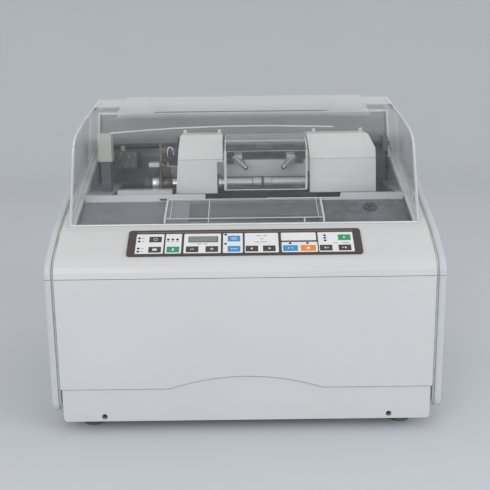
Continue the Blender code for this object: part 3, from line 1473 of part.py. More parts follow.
def make_pattern_bracket(finish):
    neck_front = LENS_BEHIND - BRACKET_NECK / 2
    neck_rear = LENS_BEHIND + BRACKET_NECK / 2
    outline = rounded([
        (BRACKET_FRONT, BRACKET_LOW, 0),
        (BRACKET_REAR, BRACKET_LOW, 0),
        (BRACKET_REAR, BRACKET_HIGH, 0),
        (neck_rear, BRACKET_HIGH + BRACKET_NECK, 0),
        (neck_rear, BRACKET_TOP, COVER_CORNER),
        (neck_front, BRACKET_TOP, COVER_CORNER),
        (neck_front, BRACKET_HIGH + BRACKET_NECK, 0),
        (BRACKET_FRONT, BRACKET_HIGH, 0),
    ])
    bore = circle(*LENS_AXIS, SHAFT_RADIUS + FIT)
    bracket = plate("pattern_bracket", [outline, bore], "x", BRACKET_LEFT, BRACKET_RIGHT)
    foot = box(
        "bracket_foot",
        (BRACKET_LEFT, BRACKET_REAR - OVERRUN, TAIL_HIGH - BRACKET_FOOT),
        (BRACKET_RIGHT, BEAM_FRONT - FIT, TAIL_HIGH),
    )
    sensor = box(
        "bracket_sensor",
        (SENSOR_LEFT, LENS_BEHIND - SENSOR_DEPTH / 2, SENSOR_LOW),
        (SENSOR_RIGHT, LENS_BEHIND + SENSOR_DEPTH / 2, SENSOR_HIGH),
    )
    tab = box(
        "bracket_tab",
        (BRACKET_RIGHT - WALL / 2, LENS_BEHIND - TAB_DEPTH / 2, TAB_LOW),
        (TAB_RIGHT, LENS_BEHIND + TAB_DEPTH / 2, TAB_HIGH),
    )
    ring_x = TAB_RIGHT - RING_RADIUS / 2
    ring = rod(
        "bracket_ring",
        (ring_x, LENS_BEHIND - TAB_DEPTH / 2 - SKIN, RING_OVER),
        (ring_x, LENS_BEHIND + TAB_DEPTH / 2, RING_OVER),
        RING_RADIUS,
    )
    return dress(join(bracket, foot, sensor, tab, ring), finish)


def make_nozzle(name, x, aim, finish):
    half = BARREL_LENGTH / 2
    barrel = rod_x(name, x - half, x + half, (NOZZLE_BEHIND, NOZZLE_OVER), BARREL_RADIUS, ROUND_SIDES // 2)
    tip = (x + aim, NOZZLE_BEHIND - SPOUT_REACH, NOZZLE_OVER - SPOUT_DROP)
    spout = rod("nozzle_spout", (x, NOZZLE_BEHIND, NOZZLE_OVER), tip, SPOUT_RADIUS, ROUND_SIDES // 2)
    return dress(join(barrel, spout), finish)


# Grinding drive

def make_wheel_spindle(finish):
    nut_right = ROUGH_LEFT - FIT
    flange_right = FLANGE_LEFT + FLANGE_WIDTH
    stations = [
        (SPINDLE_RIGHT, SPINDLE_RADIUS),
        (PULLEY_RIGHT, SPINDLE_RADIUS),
        (PULLEY_RIGHT, SPINDLE_PULLEY_RADIUS + PULLEY_RIM),
        (PULLEY_RIGHT - PULLEY_RIM, SPINDLE_PULLEY_RADIUS + PULLEY_RIM),
        (PULLEY_RIGHT - PULLEY_RIM, SPINDLE_PULLEY_RADIUS),
        (PULLEY_LEFT + PULLEY_RIM, SPINDLE_PULLEY_RADIUS),
        (PULLEY_LEFT + PULLEY_RIM, SPINDLE_PULLEY_RADIUS + PULLEY_RIM),
        (PULLEY_LEFT, SPINDLE_PULLEY_RADIUS + PULLEY_RIM),
        (PULLEY_LEFT, SPINDLE_RADIUS),
        (flange_right, SPINDLE_RADIUS),
        (flange_right, FLANGE_RADIUS),
        (FLANGE_LEFT, FLANGE_RADIUS),
        (FLANGE_LEFT, ARBOR_RADIUS),
        (nut_right, ARBOR_RADIUS),
        (nut_right, NUT_RADIUS),
        (SPINDLE_LEFT, NUT_RADIUS),
    ]
    return dress(turned("wheel_spindle", stations, place(0, *SPINDLE_AXIS)), finish)


def make_roughing_wheel(finish):
    stations = [(ROUGH_RIGHT, WHEEL_RADIUS), (ROUGH_LEFT, WHEEL_RADIUS)]
    wheel = turned("roughing_wheel", stations, place(0, *SPINDLE_AXIS), 2 * ROUND_SIDES, ARBOR_RADIUS + FIT)
    return dress(wheel, finish)


def make_bevel_wheel(finish):
    stations = [
        (BEVEL_RIGHT, WHEEL_RADIUS),
        (GROOVE_CENTRE + GROOVE_HALF, WHEEL_RADIUS),
        (GROOVE_CENTRE, WHEEL_RADIUS - GROOVE_DEPTH),
        (GROOVE_CENTRE - GROOVE_HALF, WHEEL_RADIUS),
        (BEVEL_LEFT, WHEEL_RADIUS),
    ]
    wheel = turned("bevel_wheel", stations, place(0, *SPINDLE_AXIS), 2 * ROUND_SIDES, ARBOR_RADIUS + FIT)
    return dress(wheel, finish)


def make_spindle_housing(finish):
    housing = rod_x("spindle_housing", BEARING_LEFT, BEARING_RIGHT, SPINDLE_AXIS, BEARING_RADIUS)
    pedestal = box(
        "spindle_pedestal",
        (PEDESTAL_LEFT, SPINDLE_BEHIND - PEDESTAL_HALF, FLOOR_OVER + FIT),
        (PEDESTAL_RIGHT, SPINDLE_BEHIND + PEDESTAL_HALF, SPINDLE_OVER),
    )
    join(housing, pedestal)
    low = BEARING_LEFT - OVERRUN
    bore = rod_x("spindle_bore", low, BEARING_RIGHT + OVERRUN, SPINDLE_AXIS, SPINDLE_RADIUS + FIT)
    return dress(cut(housing, bore), finish)


def make_grinding_motor(finish):
    motor = rod_x("grinding_motor", MOTOR_LEFT, MOTOR_RIGHT, MOTOR_AXIS, MOTOR_RADIUS)
    foot = box(
        "motor_foot",
        (MOTOR_LEFT + MOTOR_FOOT / 2, MOTOR_BEHIND - MOTOR_FOOT, FLOOR_OVER + FIT),
        (MOTOR_RIGHT - MOTOR_FOOT / 2, MOTOR_BEHIND + MOTOR_FOOT, MOTOR_OVER - MOTOR_RADIUS / 2),
    )
    join(motor, foot)
    low = MOTOR_RIGHT - MOTOR_SHAFT_DEPTH - FIT
    bore = rod_x("motor_bore", low, MOTOR_RIGHT + OVERRUN, MOTOR_AXIS, MOTOR_SHAFT_RADIUS + FIT)
    return dress(cut(motor, bore), finish)


def make_motor_pulley(finish):
    stations = [
        (PULLEY_RIGHT, MOTOR_PULLEY_RADIUS + PULLEY_RIM),
        (PULLEY_RIGHT - PULLEY_RIM, MOTOR_PULLEY_RADIUS + PULLEY_RIM),
        (PULLEY_RIGHT - PULLEY_RIM, MOTOR_PULLEY_RADIUS),
        (PULLEY_LEFT + PULLEY_RIM, MOTOR_PULLEY_RADIUS),
        (PULLEY_LEFT + PULLEY_RIM, MOTOR_PULLEY_RADIUS + PULLEY_RIM),
        (PULLEY_LEFT, MOTOR_PULLEY_RADIUS + PULLEY_RIM),
        (PULLEY_LEFT, MOTOR_SHAFT_RADIUS),
        (MOTOR_RIGHT - MOTOR_SHAFT_DEPTH, MOTOR_SHAFT_RADIUS),
    ]
    return dress(turned("motor_pulley", stations, place(0, *MOTOR_AXIS)), finish)


def make_drive_belt(finish):
    """Belt round both pulleys, a fit's gap clear of each."""
    inner = hull(
        circle(*SPINDLE_AXIS, SPINDLE_PULLEY_RADIUS + FIT + FIT),
        circle(*MOTOR_AXIS, MOTOR_PULLEY_RADIUS + FIT + FIT),
    )
    outer = hull(
        circle(*SPINDLE_AXIS, SPINDLE_PULLEY_RADIUS + BELT_THICK),
        circle(*MOTOR_AXIS, MOTOR_PULLEY_RADIUS + BELT_THICK),
    )
    middle = (PULLEY_LEFT + PULLEY_RIGHT) / 2
    belt = plate("drive_belt", [outer, inner], "x", middle - BELT_WIDTH / 2, middle + BELT_WIDTH / 2)
    return dress(belt, finish)


# Small things around the working space

def make_template_rest(finish):
    low = BASIN_FLOOR + WALL + FIT
    rest = box("template_rest", (REST_LEFT, REST_FRONT, low), (REST_RIGHT, REST_REAR, low + REST_THICK))
    x = (REST_LEFT + REST_RIGHT) / 2
    behind = (REST_FRONT + REST_REAR) / 2
    foot = (x, behind, REST_STEM_BOTTOM)
    stem = rod("rest_stem", foot, (x, behind, low + REST_THICK / 2), REST_STEM_RADIUS, ROUND_SIDES // 2)
    return dress(join(rest, stem), finish)


def make_sensor_post(finish):
    low = SHELF_OVER + FIT
    post = box("sensor_post", (POST_LEFT, POST_FRONT, low), (POST_RIGHT, POST_REAR, POST_HEAD_HIGH - WALL))
    head = box(
        "post_head",
        (POST_LEFT - POST_HEAD_GROW, POST_FRONT - POST_HEAD_GROW, POST_HEAD_LOW),
        (POST_RIGHT + POST_HEAD_GROW, POST_REAR + POST_HEAD_GROW, POST_HEAD_HIGH),
    )
    return dress(join(post, head), finish)


def make_size_block(finish):
    rear = BACK_PANEL_FRONT - FIT
    block = box("size_block", (SIZE_LEFT, SIZE_FRONT, SIZE_LOW), (SIZE_RIGHT, rear, SIZE_HIGH))
    behind = (SIZE_FRONT + rear) / 2
    low = (SIZE_CAP_X, behind, SIZE_HIGH - WALL)
    cap = rod("size_cap", low, (SIZE_CAP_X, behind, SIZE_CAP_HIGH), SIZE_CAP_RADIUS, ROUND_SIDES // 2)
    return dress(join(block, cap), finish)


# Rear fittings

def make_power_inlet(finish):
    outside = BACK_WALL_BEHIND + WALL + FIT
    half_width = INLET_WIDTH / 2
    half_height = INLET_HEIGHT / 2
    inlet = box(
        "power_inlet",
        (INLET_X - half_width, outside, INLET_OVER - half_height),
        (INLET_X + half_width, outside + INLET_FLANGE, INLET_OVER + half_height),
    )
    body = box(
        "inlet_body",
        (INLET_X - half_width + WALL, outside - INLET_DEPTH, INLET_OVER - half_height + WALL),
        (INLET_X + half_width - WALL, outside + INLET_FLANGE / 2, INLET_OVER + half_height - WALL),
    )
    face = outside + INLET_FLANGE
    socket_x = INLET_X + SOCKET_X
    socket = plate(
        "inlet_socket",
        [oblong(
            socket_x - SOCKET_WIDTH / 2,
            socket_x + SOCKET_WIDTH / 2,
            INLET_OVER - SOCKET_HEIGHT / 2,
            INLET_OVER + SOCKET_HEIGHT / 2,
            SOCKET_CORNER,
        )],
        "behind",
        face - SOCKET_DEPTH,
        face + OVERRUN,
    )
    rocker_x = INLET_X + ROCKER_X
    well_half = ROCKER_HEIGHT / 2 + SEAM_GAP
    well = box(
        "inlet_well",
        (rocker_x - ROCKER_WIDTH / 2 - FIT, face - WELL_DEPTH, INLET_OVER - well_half),
        (rocker_x + ROCKER_WIDTH / 2 + FIT, face + OVERRUN, INLET_OVER + well_half),
    )
    join(inlet, body)
    cut(inlet, socket, well)
    for across, up in ((-1, -1), (1, -1), (0, 1)):
        x = socket_x + across * PIN_SPREAD
        over = INLET_OVER + up * PIN_SPREAD / 2
        join(inlet, box(
            "inlet_pin",
            (x - PIN_SIZE / 2, face - SOCKET_DEPTH - PIN_SIZE, over - PIN_SIZE),
            (x + PIN_SIZE / 2, face - SOCKET_DEPTH + PIN_LENGTH, over + PIN_SIZE),
        ))
    return dress(inlet, finish)


def rocker_spot():
    """Place of the power rocker's pivot."""
    return place(INLET_X + ROCKER_X, BACK_WALL_BEHIND + WALL + FIT, INLET_OVER)


def make_power_rocker(finish):
    rocker = box(
        "power_rocker",
        (-ROCKER_WIDTH / 2, -ROCKER_THICK / 2, -ROCKER_HEIGHT / 2),
        (ROCKER_WIDTH / 2, ROCKER_THICK / 2, ROCKER_HEIGHT / 2),
        Matrix.Translation(rocker_spot()) @ Matrix.Rotation(-ROCKER_TILT, 4, "X"),
    )
    return dress(rocker, finish)


def make_hose_fittings(finish):
    seat = BACK_WALL_BEHIND + WALL + FIT
    outline = oblong(
        min(HOSE_X) - HOSE_NUT_RADIUS,
        max(HOSE_X) + HOSE_NUT_RADIUS,
        HOSE_OVER - HOSE_NUT_RADIUS,
        HOSE_OVER + HOSE_NUT_RADIUS,
    )
    holes = [circle(x, HOSE_OVER, HOSE_RADIUS - HOSE_BARB) for x in HOSE_X]
    fittings = plate("hose_fittings", [outline, *holes], "behind", seat, seat + HOSE_PLATE)
    stations = [
        (HOSE_LENGTH, HOSE_RADIUS - 2 * HOSE_BARB),
        (HOSE_LENGTH * 2 / 3, HOSE_RADIUS - HOSE_BARB),
        (HOSE_LENGTH * 2 / 3, HOSE_RADIUS - 2 * HOSE_BARB),
        (HOSE_LENGTH / 3, HOSE_RADIUS),
        (-WALL - HOSE_NUT_RADIUS, HOSE_RADIUS),
    ]
    for x in HOSE_X:
        spot = place(x, seat, HOSE_OVER)
        join(fittings, turned("hose_barb", stations, spot, ROUND_SIDES // 2, HOSE_BORE, "behind"))
    return dress(fittings, finish)


# The whole machine

def make_finishes():
    """Materials of the machine, by name."""
    return {
        "white": surface("casing_white", WHITE, 0.42),
        "fascia": surface("fascia_white", FASCIA_WHITE, 0.38),
        "cover": surface("side_cover_white", COVER_WHITE, 0.42),
        "tray": surface("tray_grey", TRAY_GREY, 0.35),
        "clear": surface("clear_plastic", CLEAR, 0.08, alpha=0.25),
        "dark": surface("dark_plastic", DARK, 0.5),
        "black": surface("black_rubber", BLACK, 0.7),
        "steel": surface("machined_steel", STEEL, 0.28, metallic=1.0),
        "brass": surface("brass", BRASS_COLOUR, 0.35, metallic=1.0),
        "blue": surface("blue_key", BLUE, 0.4),
        "green": surface("green_key", GREEN, 0.4),
        "orange": surface("orange_key", ORANGE, 0.4),
        "brown": surface("brown_key", KEY_BROWN, 0.4),
        "overlay": surface("overlay_grey", OVERLAY_GREY, 0.4),
        "stone": surface("grinding_stone", WHEEL_TAN, 0.8),
    }


def build():
    """Model every piece, then parent the moving ones to their joints' axes."""
    for old in list(bpy.data.objects):
        bpy.data.objects.remove(old)
    new_collection("automatic_lens_edger")
    new_collection("cutters")
    finish = make_finishes()
    make_base_pan(finish["white"])
    make_front_panel(finish["white"])
    make_side_cover("left_side_cover", -1, finish["cover"])
    make_side_cover("right_side_cover", 1, finish["cover"])
    make_top_fascia(finish["fascia"])
    make_rubber_feet(finish["black"])
    make_chassis(finish["dark"])
    make_deck_tray(finish["tray"])
    make_splash_flap(finish["clear"])
    make_grinding_basin(finish["tray"])
    make_rear_housing(finish["white"])
    make_inner_back_panel(finish["dark"])
    make_hood_hinge(finish["steel"])
    make_keypad_overlay(finish["overlay"])
    make_keys(finish)
    make_guide_shaft(finish["steel"])
    make_traverse_screw(finish["black"])
    make_spindle_housing(finish["dark"])
    make_grinding_motor(finish["dark"])
    make_motor_pulley(finish["steel"])
    make_drive_belt(finish["black"])
    make_template_rest(finish["dark"])
    make_sensor_post(finish["white"])
    make_size_block(finish["dark"])
    make_power_inlet(finish["black"])
    make_power_rocker(finish["black"])
    make_hose_fittings(finish["brass"])

    hood_axis = pivot("hood_axis", place(0, *HINGE_AXIS))
    carry(hood_axis, make_hood(finish["clear"]))
    spindle_axis = pivot("spindle_axis", place(0, *SPINDLE_AXIS))
    carry(
        spindle_axis,
        make_wheel_spindle(finish["steel"]),
        make_roughing_wheel(finish["stone"]),
        make_bevel_wheel(finish["stone"]),
    )
    saddle_axis = pivot("saddle_axis", place(0, *GUIDE_AXIS))
    head_axis = pivot("head_axis", place(0, *GUIDE_AXIS))
    lens_axis = pivot("lens_axis", place(0, *LENS_AXIS))
    clamp_axis = pivot("clamp_axis", place(0, *LENS_AXIS))
    carry(saddle_axis, make_saddle(finish["dark"]), head_axis)
    carry(
        head_axis,
        make_head_yoke(finish["white"]),
        make_left_head_cover(finish["white"]),
        make_right_head_cover(finish["white"]),
        make_lens_guard(finish["clear"]),
        make_pattern_bracket(finish["brass"]),
        make_nozzle("left_nozzle", NOZZLE_X[0], NOZZLE_AIM[0], finish["steel"]),
        make_nozzle("right_nozzle", NOZZLE_X[1], NOZZLE_AIM[1], finish["steel"]),
        lens_axis,
        clamp_axis,
    )
    carry(lens_axis, make_drive_shaft(finish["steel"]), make_pattern_knob(finish["black"]))
    carry(
        clamp_axis,
        make_clamp_quill(finish["steel"]),
        make_clamp_shaft(finish["steel"]),
        make_lens_pad(finish["black"]),
    )


build()
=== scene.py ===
"""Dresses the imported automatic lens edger: finishes for its nodes, and the details that the solids leave out."""

import math

import bmesh
import bpy
from mathutils import Matrix, Vector


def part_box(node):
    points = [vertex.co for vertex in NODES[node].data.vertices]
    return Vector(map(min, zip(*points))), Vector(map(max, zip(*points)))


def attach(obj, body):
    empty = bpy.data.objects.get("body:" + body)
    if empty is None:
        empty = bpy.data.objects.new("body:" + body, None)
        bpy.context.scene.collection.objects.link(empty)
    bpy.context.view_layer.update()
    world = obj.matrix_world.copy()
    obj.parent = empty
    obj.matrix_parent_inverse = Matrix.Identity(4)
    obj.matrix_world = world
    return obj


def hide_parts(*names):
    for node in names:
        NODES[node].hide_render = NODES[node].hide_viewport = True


bl_info = {
    "name": "Automatic lens edger",
    "version": (1, 0, 0),
    "blender": (4, 5, 0),
    "location": "View3D > Sidebar > Lens edger",
    "description": "Finishes and details for an automatic lens edger",
    "category": "Object",
}

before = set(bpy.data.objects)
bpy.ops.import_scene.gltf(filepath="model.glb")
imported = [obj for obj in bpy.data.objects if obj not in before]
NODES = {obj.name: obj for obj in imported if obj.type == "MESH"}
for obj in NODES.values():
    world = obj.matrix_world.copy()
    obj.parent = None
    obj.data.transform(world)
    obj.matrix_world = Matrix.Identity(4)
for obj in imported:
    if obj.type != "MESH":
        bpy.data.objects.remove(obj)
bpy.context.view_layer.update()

# The body's places are written as behind the front panel and over the seam
BODY_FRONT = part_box("front_panel")[0].y
SEAM = 0.230

# Keypad
SLOPE = math.atan2(0.0365, 0.062)
PRINT_THICK = 0.00035
WINDOW_LOW = -0.0225
WINDOW_HIGH = 0.0178
# Left, right, low and high edge of each pale window, in the plane of the slope
WINDOWS = (
    (-0.1542, -0.1148, WINDOW_LOW, WINDOW_HIGH),
    (-0.1123, -0.0895, WINDOW_LOW, WINDOW_HIGH),
    (-0.0860, -0.0337, WINDOW_LOW, WINDOW_HIGH),
    (-0.0306, -0.0026, WINDOW_LOW, WINDOW_HIGH),
    (0.0002, 0.0479, WINDOW_LOW, WINDOW_HIGH),
    (0.0520, 0.1018, 0.0014, WINDOW_HIGH),
    (0.0523, 0.1028, WINDOW_LOW, -0.0019),
    (0.1045, 0.1543, WINDOW_LOW, WINDOW_HIGH),
)
LAMPS = (
    (-0.1500, 0.0096), (-0.1500, 0.0029), (-0.1500, -0.0116), (-0.1500, -0.0179),
    (-0.1086, 0.0062), (-0.1021, 0.0062), (-0.0956, 0.0062),
    (-0.0270, 0.0151), (-0.0270, -0.0039),
    (0.0645, -0.0044), (0.0890, -0.0044),
    (0.1143, 0.0114), (0.1143, 0.0060), (0.1143, 0.0005),
)
LAMP_RADIUS = 0.0020
KEY_GAP = 0.0003
DISPLAY = (-0.0588, 0.0058, 0.0424, 0.0124)

# Hood outline from the side: behind, over and corner radius
HOOD_HALF = 0.256
HOOD_WALL = 0.0028
HOOD_CORNERS = (
    (0.0745, 0.0596, 0.0),
    (0.131, 0.182, 0.050),
    (0.219, 0.204, 0.0028),
    (0.376, 0.230, 0.0),
    (0.345, 0.1591, 0.0),
)

# Casing outline from the side: behind, over and corner radius
CASING_CORNERS = (
    (0.0, -0.200, 0.018),
    (0.0, 0.018, 0.031),
    (0.062, 0.0545, 0.012),
    (0.345, 0.1586, 0.012),
    (0.472, 0.1586, 0.050),
    (0.472, -0.200, 0.018),
)
GAP_MIDDLE = 0.26775
GASKET_RADIUS = 0.0017

# Splash flap: the foot, the bend and the rear edge
FLAP_FOOT = (0.0858, 0.0590)
FLAP_BEND = (0.0892, 0.0672)
FLAP_REAR = (0.1478, 0.0862)
FLAP_HALF = 0.1175

LENS_BEHIND = 0.200
LENS_OVER = 0.104
TRAVERSE_BEHIND = 0.274
TRAVERSE_OVER = 0.157
TRAVERSE_PITCH = 0.004


def place(x, behind, over):
    """Point from its place across, behind the front panel and over the seam."""
    return Vector((x, BODY_FRONT + behind, SEAM + over))


def top_of(node, direction):
    """How far a node reaches in a direction."""
    return max(vertex.co.dot(direction) for vertex in NODES[node].data.vertices)


# The hood's side walls are milky
SIDE_VEIL = (0.60, 0.615, 0.63)
SIDE_ALPHA = 0.44
# The roof is frosted towards the hinge, and under the raised ridge
RIDGE_HALF = 0.2065
RIDGE_FROST = 0.243
ROOF_FROST = 0.312
FROST_WHITE = (0.60, 0.61, 0.63)
FROST_ALPHA = 0.60
GUARD_BROW = SEAM + 0.166
BROW_ALPHA = 0.20
KNOB_RADIUS = 0.0105
KNOB_RIBS = 30


# Shaders

class Field:
    """A shader's value, so that masks and heights are written as sums."""

    def __init__(self, finish, socket):
        self.finish = finish
        self.socket = socket

    def sum(self, operation, left, right):
        return self.finish.add("ShaderNodeMath", {"operation": operation}, {0: left, 1: right})

    def __add__(self, other):
        return self.sum("ADD", self, other)

    def __radd__(self, other):
        return self.sum("ADD", other, self)

    def __sub__(self, other):
        return self.sum("SUBTRACT", self, other)

    def __rsub__(self, other):
        return self.sum("SUBTRACT", other, self)

    def __mul__(self, other):
        return self.sum("MULTIPLY", self, other)

    def __rmul__(self, other):
        return self.sum("MULTIPLY", other, self)

    def __gt__(self, other):
        return self.sum("GREATER_THAN", self, other)

    def __lt__(self, other):
        return self.sum("LESS_THAN", self, other)


class Finish:
    """A material under construction."""

    def __init__(self, name):
        self.material = bpy.data.materials.new(name)
        self.material.use_nodes = True
        self.tree = self.material.node_tree
        self.tree.nodes.clear()
        self.spot = self.add("ShaderNodeTexCoord", output="Object")

    def add(self, kind, settings=None, inputs=None, output=0):
        """A node with its settings, then its sockets' values or links."""
        node = self.tree.nodes.new(kind)
        for key, value in (settings or {}).items():
            if key == "stops":
                ramp = node.color_ramp
                for index, (place_on, level) in enumerate(value):
                    stop = ramp.elements[index] if index < 2 else ramp.elements.new(place_on)
                    stop.position = place_on
                    stop.color = (level, level, level, 1)
            else:
                setattr(node, key, value)
        for key, value in (inputs or {}).items():
            if isinstance(value, Field):
                self.tree.links.new(value.socket, node.inputs[key])
            else:
                node.inputs[key].default_value = value
        return Field(self, node.outputs[output])

    def axes(self):
        """The place's x, y and z."""
        split = self.add("ShaderNodeSeparateXYZ", None, {0: self.spot})
        outputs = split.socket.node.outputs
        return [Field(self, outputs[index]) for index in range(3)]

    def noise(self, scale, detail=2.0, stretch=(1, 1, 1)):
        where = self.add("ShaderNodeVectorMath", {"operation": "MULTIPLY"}, {0: self.spot, 1: stretch})
        return self.add("ShaderNodeTexNoise", None, {"Vector": where, "Scale": scale, "Detail": detail})

    def cells(self, scale, feature="F1"):
        return self.add(
            "ShaderNodeTexVoronoi", {"feature": feature}, {"Vector": self.spot, "Scale": scale}
        )

    def ramp(self, value, *stops):
        return self.add("ShaderNodeValToRGB", {"stops": stops}, {0: value})

    def blend(self, mask, first, second):
        """Colour that goes from the first to the second as the mask rises."""
        inputs = {0: mask, 6: solid(first), 7: solid(second)}
        return self.add("ShaderNodeMix", {"data_type": "RGBA"}, inputs, output=2)

    def close(self, colour, roughness, height=None, depth=0.0002, strength=0.3, **sockets):
        """Ends the material in its surface shader."""
        inputs = {"Base Color": solid(colour), "Roughness": roughness}
        for key, value in sockets.items():
            inputs[key.replace("_", " ")] = value
        if height is not None:
            bump = {"Height": height, "Distance": depth, "Strength": strength}
            inputs["Normal"] = self.add("ShaderNodeBump", None, bump)
        shader = self.add("ShaderNodeBsdfPrincipled", None, inputs)
        self.add_output(shader)
        return self.material

    def add_output(self, shader):
        node = self.tree.nodes.new("ShaderNodeOutputMaterial")
        self.tree.links.new(shader.socket, node.inputs["Surface"])


def solid(colour):
    """A colour with its alpha, or a field as it is."""
    if isinstance(colour, Field):
        return colour
    return (colour[0], colour[1], colour[2], 1.0)


def toned(colour, share):
    """A colour made lighter or darker by a share."""
    return tuple(min(1.0, part * (1 + share)) for part in colour[:3])


def moulded_plastic(name, colour, roughness=0.36, grain=1400.0, depth=0.00006):
    """Semi-gloss moulding: faint mottle, a fine grain and handling smears in the gloss."""
    finish = Finish(name)
    mottle = finish.noise(7.0, 3.0)
    smear = finish.noise(26.0, 4.0, (1, 1, 0.35))
    shade = finish.blend(mottle, toned(colour, -0.035), toned(colour, 0.03))
    return finish.close(shade, smear * 0.14 + (roughness - 0.07), finish.noise(grain, 2.0), depth)


def seamed_plastic(name, colour, roughness, height, width):
    """Moulding in two parts, with a fine joint that ends at a height."""
    finish = Finish(name)
    tall = finish.axes()[2]
    joint = (tall > height - width) * (tall < height)
    mottle = finish.noise(7.0, 3.0)
    shade = finish.blend(mottle, toned(colour, -0.035), toned(colour, 0.03))
    lined = finish.blend(joint, shade, toned(colour, -0.65))
    return finish.close(lined, finish.noise(26.0, 4.0) * 0.14 + (roughness - 0.07), finish.noise(1400.0), 0.00006)


def stained_tray(name, colour, rim, shelf):
    """Grey tray with dried water marks and a wet sheen in patches, a pale rim behind it and the shelf."""
    finish = Finish(name)
    across, deep, tall = finish.axes()
    pools = finish.ramp(finish.noise(11.0, 4.0, (1, 1.6, 1)), (0.44, 0.0), (0.62, 1.0))
    rings = finish.ramp(finish.noise(42.0, 5.0), (0.5, 0.0), (0.56, 1.0))
    drops = finish.cells(150.0) < 0.16
    base = finish.blend(pools, toned(colour, -0.42), toned(colour, -0.14))
    floor = finish.blend(rings * 0.30, base, toned(colour, 0.45))
    left = finish.blend(finish.ramp(across + 0.5, (0.42, 1.0), (0.58, 0.0)), floor, toned(colour, 0.46))
    rimmed = finish.blend(deep > BODY_FRONT + 0.1475, left, rim)
    marked = finish.blend(deep > BODY_FRONT + 0.1620, rimmed, shelf)
    wet = 0.44 - pools * 0.18 - drops * 0.12
    return finish.close(marked, wet, drops * 0.6 + finish.noise(700.0), 0.0001, 0.3)


def ground_steel(name, colour, roughness=0.26, stretch=(1, 0.02, 0.02)):
    """Steel with fine tool marks that run round the shaft."""
    finish = Finish(name)
    marks = finish.noise(420.0, 2.0, stretch)
    haze = finish.noise(60.0, 3.0)
    shade = finish.blend(haze, toned(colour, -0.12), toned(colour, 0.06))
    gloss = marks * 0.02 + haze * 0.05 + (roughness - 0.035)
    return finish.close(shade, gloss, Metallic=1.0)


def cast_metal(name, colour, roughness=0.42, metallic=1.0):
    """Cast or brushed metal with a pitted skin."""
    finish = Finish(name)
    pits = finish.noise(420.0, 3.0)
    haze = finish.noise(20.0, 3.0)
    shade = finish.blend(haze, toned(colour, -0.10), toned(colour, 0.08))
    return finish.close(shade, haze * 0.16 + (roughness - 0.08), pits, 0.0001, 0.4, Metallic=metallic)


def capped_post(name, column, cap):
    """Dark column under a white head."""
    finish = Finish(name)
    tall = finish.axes()[2]
    shade = finish.blend(tall > SEAM + 0.1408, column, cap)
    return finish.close(shade, finish.noise(30.0) * 0.1 + 0.36, finish.noise(1200.0), 0.00005)


def brass_sheet(name, colour):
    finish = Finish(name)
    lines = finish.noise(900.0, 2.0, (0.05, 1, 0.05))
    tarnish = finish.ramp(finish.noise(70.0, 4.0), (0.42, 0.0), (0.7, 1.0))
    shade = finish.blend(tarnish, colour, toned(colour, -0.45))
    return finish.close(shade, tarnish * 0.25 + 0.24, lines, 0.00006, 0.4, Metallic=1.0)


def dark_moulding(name, colour, roughness=0.48):
    finish = Finish(name)
    haze = finish.noise(34.0, 4.0)
    shade = finish.blend(haze, toned(colour, -0.2), toned(colour, 0.4))
    return finish.close(shade, haze * 0.2 + (roughness - 0.1), finish.noise(1100.0), 0.00012, 0.4)


def mottled_block(name, colour, fleck, cap):
    """Dark hard plastic with pale mineral flecks, under a cap of another colour."""
    finish = Finish(name)
    tall = finish.axes()[2]
    flecks = finish.ramp(finish.noise(260.0, 3.0), (0.55, 0.0), (0.66, 1.0))
    shade = finish.blend(flecks, colour, fleck)
    capped = finish.blend(tall > SEAM + 0.1503, shade, cap)
    return finish.close(capped, 0.34, flecks, 0.00004, 0.3)


def soft_rubber(name, colour):
    finish = Finish(name)
    dust = finish.noise(55.0, 4.0)
    shade = finish.blend(dust, toned(colour, -0.2), toned(colour, 0.9))
    return finish.close(shade, dust * 0.15 + 0.62, finish.noise(1600.0), 0.0001, 0.4)


def bonded_stone(name, colour):
    """Diamond grit in its bond, glazed in rings where lenses have run."""
    finish = Finish(name)
    grit = finish.cells(1900.0)
    rings = finish.noise(700.0, 2.0, (1, 0.01, 0.01))
    wear = finish.ramp(rings, (0.42, 0.0), (0.6, 1.0))
    shade = finish.blend(wear, toned(colour, -0.25), toned(colour, 0.30))
    return finish.close(shade, wear * 0.2 + 0.45, grit * 0.5 + rings * 0.5, 0.00015, 0.5, Metallic=0.25)


def clear_moulding(name, colour, body, rim, roughness=0.06, side=None, brow=None):
    """Clear plastic, milky at grazing angles, on the side walls past a place across and over a brow's height."""
    finish = Finish(name)
    facing = finish.add("ShaderNodeLayerWeight", None, {"Blend": 0.32}, output="Facing")
    wipes = finish.ramp(finish.noise(90.0, 5.0, (0.15, 1, 1)), (0.55, 0.0), (0.75, 1.0))
    haze = finish.noise(6.0, 3.0)
    veil = facing * facing * rim + wipes * 0.03 + haze * 0.03 + (body - 0.015)
    if side:
        across, deep, tall = finish.axes()
        walls = across * across > side * side
        ridge = (across * across < RIDGE_HALF * RIDGE_HALF) * (deep > BODY_FRONT + RIDGE_FROST)
        roof = (deep > BODY_FRONT + ROOF_FROST) * (tall > SEAM + 0.21)
        depth = (deep - (BODY_FRONT + RIDGE_FROST)) * 12.0
        frost = ((ridge + roof) > 0.5) * finish.ramp(depth, (0.0, 0.35), (1.0, 1.0))
        colour = finish.blend(walls, colour, SIDE_VEIL)
        colour = finish.blend(frost, colour, FROST_WHITE)
        veil = veil + walls * SIDE_ALPHA + frost * FROST_ALPHA
    if brow:
        over = finish.ramp((finish.axes()[2] - brow) * 60.0, (0.0, 0.0), (0.6, 1.0))
        colour = finish.blend(over, colour, FROST_WHITE)
        veil = veil + over * BROW_ALPHA
    return finish.close(colour, wipes * 0.12 + roughness, Alpha=veil, Coat_Weight=0.6, IOR=1.5)


